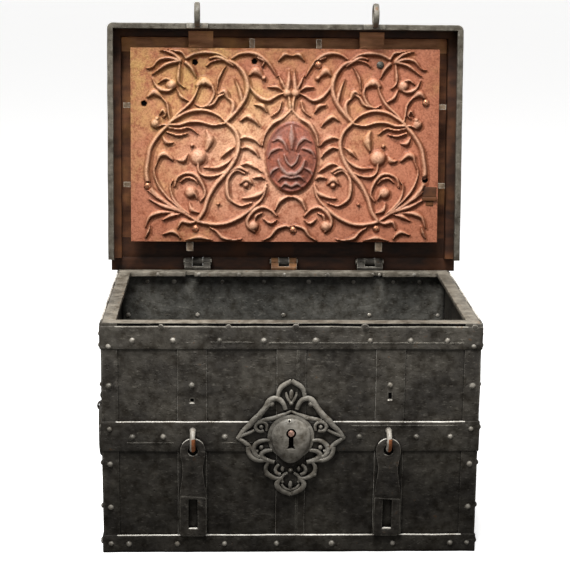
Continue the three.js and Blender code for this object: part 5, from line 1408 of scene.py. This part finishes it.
class Relief:
    """Heights over the embossed sheet, in millimetres, gathered stroke by stroke."""

    def __init__(self, x, y):
        self.x, self.y = x, y
        self.height = np.zeros_like(x)
        self.step = x[0, 1] - x[0, 0]

    def mound(self, x, y, radius, height, power=1.0):
        """Raises a round mound, which melts into what is there."""
        left, low = self.x[0, 0], self.y[0, 0]
        reach = radius * 1.25
        c0, c1 = int((x - reach - left) / self.step), int((x + reach - left) / self.step) + 2
        r0, r1 = int((y - reach - low) / self.step), int((y + reach - low) / self.step) + 2
        rows, columns = slice(max(r0, 0), max(r1, 0)), slice(max(c0, 0), max(c1, 0))
        far = np.hypot(self.x[rows, columns] - x, self.y[rows, columns] - y) / reach
        raised = height * np.clip(1 - far * far, 0, 1) ** power
        self.height[rows, columns] = np.maximum(self.height[rows, columns], raised)

    def stroke(self, widths, points, height):
        """A ridge that swells and tapers along a smooth line."""
        line = smooth_line(points)
        spans = np.hypot(*np.diff(line, axis=0).T)
        along = np.concatenate([[0], np.cumsum(spans)])
        widest = max(widths)
        for place in np.arange(0, along[-1], 1.0):
            share = place / along[-1]
            width = np.interp(share, (0, 0.5, 1), widths)
            x, y = (np.interp(place, along, line[:, axis]) for axis in (0, 1))
            self.mound(x, y, width * 0.58, height * (0.5 + 0.5 * width / widest), 0.85)


def squared(widths):
    """Widths of the drawing, in millimetres."""
    return [width * SQUARE for width in widths]


def on_sheet(points, side):
    """Points of the drawing in millimetres on the sheet: side -1 is the left, a share above 0 the right."""
    return [(AXIS_X + side * out * SQUARE, up * SQUARE) for out, up in points]


def relief_field():
    """The embossed sheet's grid and heights, and for its paint the ridges' wear and painted highlight, the
    painted shadow and shade with margin dirt, the cartouche, ochre and bloom.
    """
    sizes = bpy.context.scene.strongbox_sizes
    cell = sizes.relief_cell / MM
    half_x, half_y = COVER_HALF_X / MM, COVER_HALF_Y / MM
    columns, rows = round(2 * half_x / cell), round(2 * half_y / cell)
    x, y = np.meshgrid(np.linspace(-half_x, half_x, columns + 1), np.linspace(-half_y, half_y, rows + 1))
    top = sizes.relief_height / MM
    vines = Relief(x, y)
    for side in (-1, RIGHT_SHARE):
        for start, middle, end, points in VINES:
            vines.stroke(squared((start, middle, end)), on_sheet(points, side), top)
        for out, up, radius in BERRIES:
            place, = on_sheet([(out, up)], side)
            vines.mound(*place, radius * SQUARE, top * 1.1, 0.6)
    badge_x, badge_y, badge_w, badge_h, rise = BADGE
    egg = np.hypot((x - badge_x) / badge_w, (y - badge_y) / badge_h)
    peak = np.hypot((x - badge_x) / PEAK[0], (y - badge_y - badge_h) / PEAK[1])
    inside = np.clip((1.0 - egg) / 0.06, 0, 1)
    leaves = Relief(x, y)
    for side in (-1, 1):
        for start, middle, end, points in CARTOUCHE_LEAVES:
            leaves.stroke(squared((start, middle, end)), on_sheet(points, side), LEAF_HEIGHT)
    dome = rise * np.sqrt(np.clip(1 - egg ** 2, 0, 1)) + 1.2 * inside
    rim = 2.2 * np.exp(-((egg - 0.93) / 0.05) ** 2)
    arch = 4.5 * np.clip(1 - peak ** 2, 0, 1)
    height = np.maximum(vines.height * (1 - inside), dome + rim * inside + leaves.height * inside)
    height = np.maximum(height, arch)
    # How high on a ridge a point lies: where the paint is rubbed pale and painted lit
    rubbed_lit_crest = np.maximum(np.clip(vines.height / top, 0, 1) * (1 - inside),
                       np.clip(leaves.height / LEAF_HEIGHT, 0, 1) * inside)
    around = height.copy()
    for _ in range(5):
        around = (np.roll(around, 1, 0) + np.roll(around, -1, 0) + np.roll(around, 1, 1)
                  + np.roll(around, -1, 1) + around) / 5
    # The foot mark: painted shade in crevices beside higher relief, then a painted shadow below and right of
    # every ridge, as if lit from the upper left
    foot = 0.4 * np.clip((around - height) / 1.3, 0, 1)
    for step in (1, 2, 3):
        painted_shadow = (np.roll(height, (-step, step), (0, 1)) - height) / (1.2 + 0.5 * step)
        foot = np.maximum(foot, np.clip(painted_shadow, 0, 1))
    edge = np.minimum(half_x - np.abs(x), half_y - np.abs(y))
    # Dirt along the sheet's margins, and a painted shade that grows toward the top
    margin_dirt_top_shade = 0.3 * np.clip(1 - edge / 60, 0, 1) + 0.2 * np.clip(y / half_y, 0, 1)
    foot += margin_dirt_top_shade
    for hx, hy in EMPTY_HOLES:
        hole = np.hypot(x - hx, y - hy)
        height = np.where(hole < SEAT_RADIUS, np.minimum(height, 0.3), height)
        height = np.where(hole < HOLE_RADIUS, -2.6, height)
        # Inside each empty hole the paint turns black: a painted shade
        foot = np.where(hole < 5.4, 4.0, foot)  # so high that the paint takes it for a pierced place
    for sx, sy in SCREWS:
        seat = np.hypot(x - sx, y - sy)
        height = np.where(seat < SEAT_RADIUS, np.minimum(height, 1.2), height)
    height = np.where(edge < EDGE_FALL, height * edge / EDGE_FALL, height)
    # A slow warp and a finer buckle of the sheet, ochre toward the upper left, and a pale bloom left of
    # the middle
    warp = 0.9 * np.sin(x / 61 + 0.7) * np.cos(y / 47 - 0.4) + 0.35 * np.sin(x / 19 + y / 23)
    shade = 0.12 + 0.13 * np.sin((y + 20) / 110) - 0.12 * x / half_x
    bloom = np.exp(-((x + 45) / 130) ** 2 - ((y + 22) / 95) ** 2)
    return x, y, height + warp * np.clip(edge / 30, 0, 1), rubbed_lit_crest, foot, inside, shade, bloom


def make_lock_cover():
    """The lock's embossed cover: vines, leaves and berries chased up from behind round a leafy cartouche."""
    x, y, height, rubbed_lit_crest, foot, badge, shade, bloom = relief_field()
    rows, columns = x.shape[0] - 1, x.shape[1] - 1
    bpy.ops.object.select_all(action="DESELECT")
    bpy.ops.mesh.primitive_grid_add(x_subdivisions=columns, y_subdivisions=rows, size=1)
    sheet = bpy.context.object
    sheet.name = "embossed_cover"
    places = np.empty((rows + 1) * (columns + 1) * 3)
    sheet.data.vertices.foreach_get("co", places)
    places = places.reshape(-1, 3)
    column = np.rint((places[:, 0] + 0.5) * columns).astype(int)
    row = np.rint((places[:, 1] + 0.5) * rows).astype(int)
    places[:, 0] = x[row, column] * MM
    places[:, 1] = -y[row, column] * MM
    places[:, 2] = COVER_FACE - height[row, column] * MM
    sheet.data.vertices.foreach_set("co", places.ravel())
    for name, values in (("raised", rubbed_lit_crest), ("foot", foot), ("badge", badge), ("shade", shade),
                         ("bloom", bloom)):
        layer = sheet.data.attributes.new(name, "FLOAT", "POINT")
        layer.data.foreach_set("value", values[row, column].astype(np.float32))
    sheet.data.update()
    only(sheet)
    bpy.ops.object.mode_set(mode="EDIT")
    bpy.ops.mesh.select_all(action="DESELECT")
    bpy.ops.mesh.select_mode(type="EDGE")
    bpy.ops.mesh.select_non_manifold()
    bpy.ops.mesh.extrude_region_move(TRANSFORM_OT_translate={"value": (0, 0, COVER_TOP - COVER_FACE)})
    bpy.ops.mesh.edge_face_add()
    bpy.ops.mesh.select_all(action="SELECT")
    bpy.ops.mesh.normals_make_consistent(inside=False)
    bpy.ops.object.mode_set(mode="OBJECT")
    opened(smooth(sheet, 60))
    dressed(sheet, look("embossed_paint"), "lid", "painted_cover", "lock_cover_plate")


def make_bolt_guides():
    """A pair of small blocks beside each bolt, between the cover and the lid."""
    guides = []
    # Of each side: the plate's half size, the bolts' spacing and width, and quarter turns
    for half, spacing, width, turns in ((COVER_HALF_Y, 118 * MM, 9 * MM, 0),
                                        (COVER_HALF_X, 140 * MM, 9 * MM, 1),
                                        (COVER_HALF_Y, 338 * MM, 12 * MM, 2),
                                        (COVER_HALF_X, 140 * MM, 9 * MM, 3)):
        for bolt in (-spacing / 2, spacing / 2):
            for sign in (-1, 1):
                near = bolt + sign * (width / 2 + 0.5 * MM)
                far = near + sign * 6 * MM
                guide = forged((min(near, far), -half + 4 * MM, COVER_TOP - 1 * MM),
                               (max(near, far), -half + 16 * MM, COVER_TOP + 11.2 * MM), cell=4 * MM,
                               depth=0.4 * MM)
                settle(guide, Matrix.Rotation(-turns * math.pi / 2, 4, "Z"))
                guides.append(guide)
    guides = joined("bolt_guides", guides)
    opened(guides)
    dressed(guides, look("primer"), "lid", "inner_iron")


def make_cover_screws():
    """Slotted, hand cut screws in the cover, and the small patch that a smith set over a worn hole."""
    screw = settle(ball(28, 14, -0.25), Matrix.Diagonal((6.8 * MM, 6.8 * MM, 4.6 * MM, 1)))
    cut_out(screw, plank((-9 * MM, -0.8 * MM, 2.4 * MM), (9 * MM, 0.8 * MM, 9 * MM)))
    smooth(screw, 40)
    chance = random.Random(5)
    matrices = []
    for x, y in SCREWS:
        spin = Matrix.Rotation(chance.uniform(0, math.pi), 4, "Z")
        place = Matrix.Translation((x * MM, -y * MM, COVER_FACE - 0.6 * MM))
        matrices.append(place @ Matrix.Rotation(math.pi, 4, "X") @ spin)
    made = copies(screw, matrices)
    grey = made.pop(1)
    grey.name = "cover_screw_iron"
    opened(grey)
    dressed(grey, look("worn_iron"), "lid", "worn_iron")
    brassy = joined("cover_screws", made)
    opened(brassy)
    dressed(brassy, look("screw_brass"), "lid", "painted_cover")
    patch = []
    for x0, x1, y0, y1, rise, cell in ((246, 271, 72, 91, 2.4, 4), (245, 272, 90, 97, 4.6, 3),
                                       (252, 266, 97, 106, 1.6, 3)):
        patch.append(forged((x0 * MM, y0 * MM, COVER_FACE - rise * MM),
                            (x1 * MM, y1 * MM, COVER_FACE + 0.5 * MM), cell=cell * MM, depth=0.8 * MM))
    patch = joined("cover_patch", patch)
    opened(patch)
    dressed(patch, look("ledge"), "lid", "inner_iron")


# CAD pieces that keep their shape

def make_carried_over():
    """Hinges, lid straps, bolts and the lock's inside keep the frame's shape and get their finish."""
    finishes = {
        "hinge_strap": "dark_iron", "lid_strap": "dark_iron", "hinge_pin": "bright_iron",
        "bolt_bar": "bolt_iron",
        "lock_rotor": "bolt_iron", "cover_post": "primer", "lid_keyhole_cover": "worn_iron",
    }
    for node, piece in frame["nodes"].items():
        for start, finish in finishes.items():
            if node == "hinge_strap_centre" and start == "hinge_strap":
                finish = "rusty_iron"
            if node.startswith(start):
                piece.data.materials.clear()
                piece.data.materials.append(look(finish))


# The stage

# Fitted to the photograph: the place, angles in radians, and the lens in millimetres
CAMERA_AT = (-93.2 * MM, -2500 * MM, 966.4 * MM)
CAMERA_YAW = 0.0354
CAMERA_PITCH = 0.224
CAMERA_ROLL = 0.0101
CAMERA_LENS = 96.44


def make_camera():
    """A camera at the photograph's place and angle."""
    scene = bpy.context.scene
    scene.view_settings.view_transform = "Standard"
    data = bpy.data.cameras.new("camera")
    data.lens = CAMERA_LENS
    camera = linked("camera", data)
    ahead = Vector((math.sin(CAMERA_YAW) * math.cos(CAMERA_PITCH),
                    math.cos(CAMERA_YAW) * math.cos(CAMERA_PITCH), -math.sin(CAMERA_PITCH)))
    level = Vector((math.cos(CAMERA_YAW), -math.sin(CAMERA_YAW), 0))
    above = level.cross(ahead)
    right = level * math.cos(CAMERA_ROLL) + above * math.sin(CAMERA_ROLL)
    up = above * math.cos(CAMERA_ROLL) - level * math.sin(CAMERA_ROLL)
    camera.matrix_world = Matrix((right, up, -ahead)).transposed().to_4x4()
    camera.location = CAMERA_AT
    scene.camera = camera


def make_world():
    """White to the camera and in reflections, dim as a light."""
    world = bpy.data.worlds.new("studio")
    bpy.context.scene.world = world
    world.use_nodes = True
    tree = world.node_tree
    tree.nodes.clear()
    path = put(tree, "ShaderNodeLightPath")
    seen = put(tree, "ShaderNodeMath", {0: path.outputs["Is Camera Ray"], 1: path.outputs["Is Glossy Ray"]},
               operation="MAXIMUM")
    seen = put(tree, "ShaderNodeMath", {0: seen.outputs[0], 1: path.outputs["Is Transmission Ray"]},
               operation="MAXIMUM")
    dim = put(tree, "ShaderNodeBackground", {"Color": WHITE, "Strength": 0.17})
    white = put(tree, "ShaderNodeBackground", {"Color": WHITE, "Strength": 1.0})
    mixed = put(tree, "ShaderNodeMixShader", {0: seen.outputs[0], 1: dim.outputs[0], 2: white.outputs[0]})
    put(tree, "ShaderNodeOutputWorld", {"Surface": mixed.outputs[0]})


def make_floor():
    """A floor that the camera sees nearly white, and that throws less light back."""
    bpy.ops.object.select_all(action="DESELECT")
    bpy.ops.mesh.primitive_plane_add(size=90, location=(0, 40, -0.2 * MM))
    floor = bpy.context.object
    floor.name = "studio_floor"
    material, tree, shader, _ = blank("paper_white")
    shader.inputs["Roughness"].default_value = 0.9
    path = put(tree, "ShaderNodeLightPath")
    paper = put(tree, "ShaderNodeMix", {0: path.outputs["Is Camera Ray"], 6: linear("#747371"),
                                        7: linear("#F2F1EF")},
                data_type="RGBA")
    tree.links.new(paper.outputs[2], shader.inputs["Base Color"])
    lift = put(tree, "ShaderNodeMath", {0: path.outputs["Is Camera Ray"], 1: 0.72}, operation="MULTIPLY")
    shader.inputs["Emission Color"].default_value = WHITE
    tree.links.new(lift.outputs[0], shader.inputs["Emission Strength"])
    floor.data.materials.append(material)


def make_lamps():
    """Soft lamps from the upper left, from the front right and from above."""
    # Place, size in metres, power in watts and what each points at
    for name, place, size, power, aim in (
        ("key", (-0.9, -2.0, 3.0), 1.0, 84, (0, 0, 0.4)),
        ("fill", (0.7, -3.2, 1.3), 1.6, 10, (0, 0, 0.5)),
        ("top", (-0.1, -0.8, 2.7), 0.6, 92, (0, 0.1, 0.5)),
    ):
        lamp = bpy.data.lights.new(name, "AREA")
        lamp.size = size
        lamp.energy = power
        holder = linked(name, lamp)
        holder.location = place
        holder.rotation_euler = (Vector(aim) - Vector(place)).to_track_quat("-Z", "Y").to_euler()


# Operators, one for each group of pieces

class STRONGBOX_OT_stage(bpy.types.Operator):
    """Camera, pale floor and soft light"""
    bl_idname = "strongbox.stage"
    bl_label = "Stage"

    def execute(self, context):
        make_camera()
        make_world()
        make_floor()
        make_lamps()
        return {"FINISHED"}


class STRONGBOX_OT_sheets(bpy.types.Operator):
    """The five plates of the body"""
    bl_idname = "strongbox.sheets"
    bl_label = "Body sheets"

    def execute(self, context):
        make_sheets()
        return {"FINISHED"}


class STRONGBOX_OT_inner_rivets(bpy.types.Operator):
    """Rivet ends on the inside of the body"""
    bl_idname = "strongbox.inner_rivets"
    bl_label = "Inner rivets"

    def execute(self, context):
        make_inner_rivets()
        return {"FINISHED"}


class STRONGBOX_OT_rim(bpy.types.Operator):
    """The four bars round the mouth"""
    bl_idname = "strongbox.rim"
    bl_label = "Rim"

    def execute(self, context):
        make_rim()
        return {"FINISHED"}


class STRONGBOX_OT_bands(bpy.types.Operator):
    """Three riveted bands round the body"""
    bl_idname = "strongbox.bands"
    bl_label = "Bands"

    def execute(self, context):
        make_bands()
        return {"FINISHED"}


class STRONGBOX_OT_straps(bpy.types.Operator):
    """Upright straps and corner bands"""
    bl_idname = "strongbox.straps"
    bl_label = "Straps"

    def execute(self, context):
        make_front_straps()
        make_side_straps()
        make_corner_straps()
        return {"FINISHED"}


class STRONGBOX_OT_escutcheon(bpy.types.Operator):
    """Openwork of forged curls round the keyhole"""
    bl_idname = "strongbox.escutcheon"
    bl_label = "Escutcheon"

    def execute(self, context):
        make_escutcheon()
        return {"FINISHED"}


class STRONGBOX_OT_keyhole_boss(bpy.types.Operator):
    """The dome with the keyhole and its pin"""
    bl_idname = "strongbox.keyhole_boss"
    bl_label = "Keyhole boss"

    def execute(self, context):
        make_keyhole_boss()
        return {"FINISHED"}


class STRONGBOX_OT_hasps(bpy.types.Operator):
    """Two hasps and their ring staples"""
    bl_idname = "strongbox.hasps"
    bl_label = "Hasps"

    def execute(self, context):
        make_hasps()
        return {"FINISHED"}


class STRONGBOX_OT_handles(bpy.types.Operator):
    """Two drop handles with their plates"""
    bl_idname = "strongbox.handles"
    bl_label = "Handles"

    def execute(self, context):
        make_handles()
        return {"FINISHED"}


class STRONGBOX_OT_lid_shell(bpy.types.Operator):
    """The lid's sheet, skirt, bead and ledge"""
    bl_idname = "strongbox.lid_shell"
    bl_label = "Lid shell"

    def execute(self, context):
        make_lid_sheet()
        make_lid_skirt()
        return {"FINISHED"}


class STRONGBOX_OT_lid_hooks(bpy.types.Operator):
    """Two rings on cross bars, with their tabs"""
    bl_idname = "strongbox.lid_hooks"
    bl_label = "Lid hooks"

    def execute(self, context):
        make_lid_hooks()
        return {"FINISHED"}


class STRONGBOX_OT_lock_cover(bpy.types.Operator):
    """The embossed and painted cover of the lock"""
    bl_idname = "strongbox.lock_cover"
    bl_label = "Lock cover"

    def execute(self, context):
        make_lock_cover()
        make_bolt_guides()
        return {"FINISHED"}


class STRONGBOX_OT_cover_screws(bpy.types.Operator):
    """Slotted screws and the patch on the cover"""
    bl_idname = "strongbox.cover_screws"
    bl_label = "Cover screws"

    def execute(self, context):
        make_cover_screws()
        return {"FINISHED"}


class STRONGBOX_OT_carried_over(bpy.types.Operator):
    """Finishes for the pieces that keep the frame's shape"""
    bl_idname = "strongbox.carried_over"
    bl_label = "Carried over pieces"

    def execute(self, context):
        make_carried_over()
        return {"FINISHED"}


STEPS = (
    STRONGBOX_OT_stage,
    STRONGBOX_OT_sheets,
    STRONGBOX_OT_inner_rivets,
    STRONGBOX_OT_rim,
    STRONGBOX_OT_bands,
    STRONGBOX_OT_straps,
    STRONGBOX_OT_escutcheon,
    STRONGBOX_OT_keyhole_boss,
    STRONGBOX_OT_hasps,
    STRONGBOX_OT_handles,
    STRONGBOX_OT_lid_shell,
    STRONGBOX_OT_lid_hooks,
    STRONGBOX_OT_lock_cover,
    STRONGBOX_OT_cover_screws,
    STRONGBOX_OT_carried_over,
)


class STRONGBOX_PT_steps(bpy.types.Panel):
    """Lists the building steps and the sizes and colours"""
    bl_idname = "STRONGBOX_PT_steps"
    bl_label = "Strongbox"
    bl_space_type = "VIEW_3D"
    bl_region_type = "UI"
    bl_category = "Strongbox"

    def draw(self, context):
        for group in (context.scene.strongbox_sizes, context.scene.strongbox_colours):
            for name in group.__annotations__:
                self.layout.prop(group, name)
        for operator in STEPS:
            self.layout.operator(operator.bl_idname)


CLASSES = (StrongboxSizes, StrongboxColours, *STEPS, STRONGBOX_PT_steps)


def register():
    """Adds the settings, operators and panel."""
    for kind in CLASSES:
        bpy.utils.register_class(kind)
    bpy.types.Scene.strongbox_sizes = bpy.props.PointerProperty(type=StrongboxSizes)
    bpy.types.Scene.strongbox_colours = bpy.props.PointerProperty(type=StrongboxColours)


def unregister():
    """Takes them away again."""
    del bpy.types.Scene.strongbox_colours
    del bpy.types.Scene.strongbox_sizes
    for kind in reversed(CLASSES):
        bpy.utils.unregister_class(kind)


def main():
    """Builds everything in order."""
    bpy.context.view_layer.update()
    register()
    bpy.ops.strongbox.stage()
    bpy.ops.strongbox.sheets()
    bpy.ops.strongbox.inner_rivets()
    bpy.ops.strongbox.rim()
    bpy.ops.strongbox.bands()
    bpy.ops.strongbox.straps()
    bpy.ops.strongbox.escutcheon()
    bpy.ops.strongbox.keyhole_boss()
    bpy.ops.strongbox.hasps()
    bpy.ops.strongbox.handles()
    bpy.ops.strongbox.lid_shell()
    bpy.ops.strongbox.lid_hooks()
    bpy.ops.strongbox.lock_cover()
    bpy.ops.strongbox.cover_screws()
    bpy.ops.strongbox.carried_over()


if __name__ == "__main__":
    main()
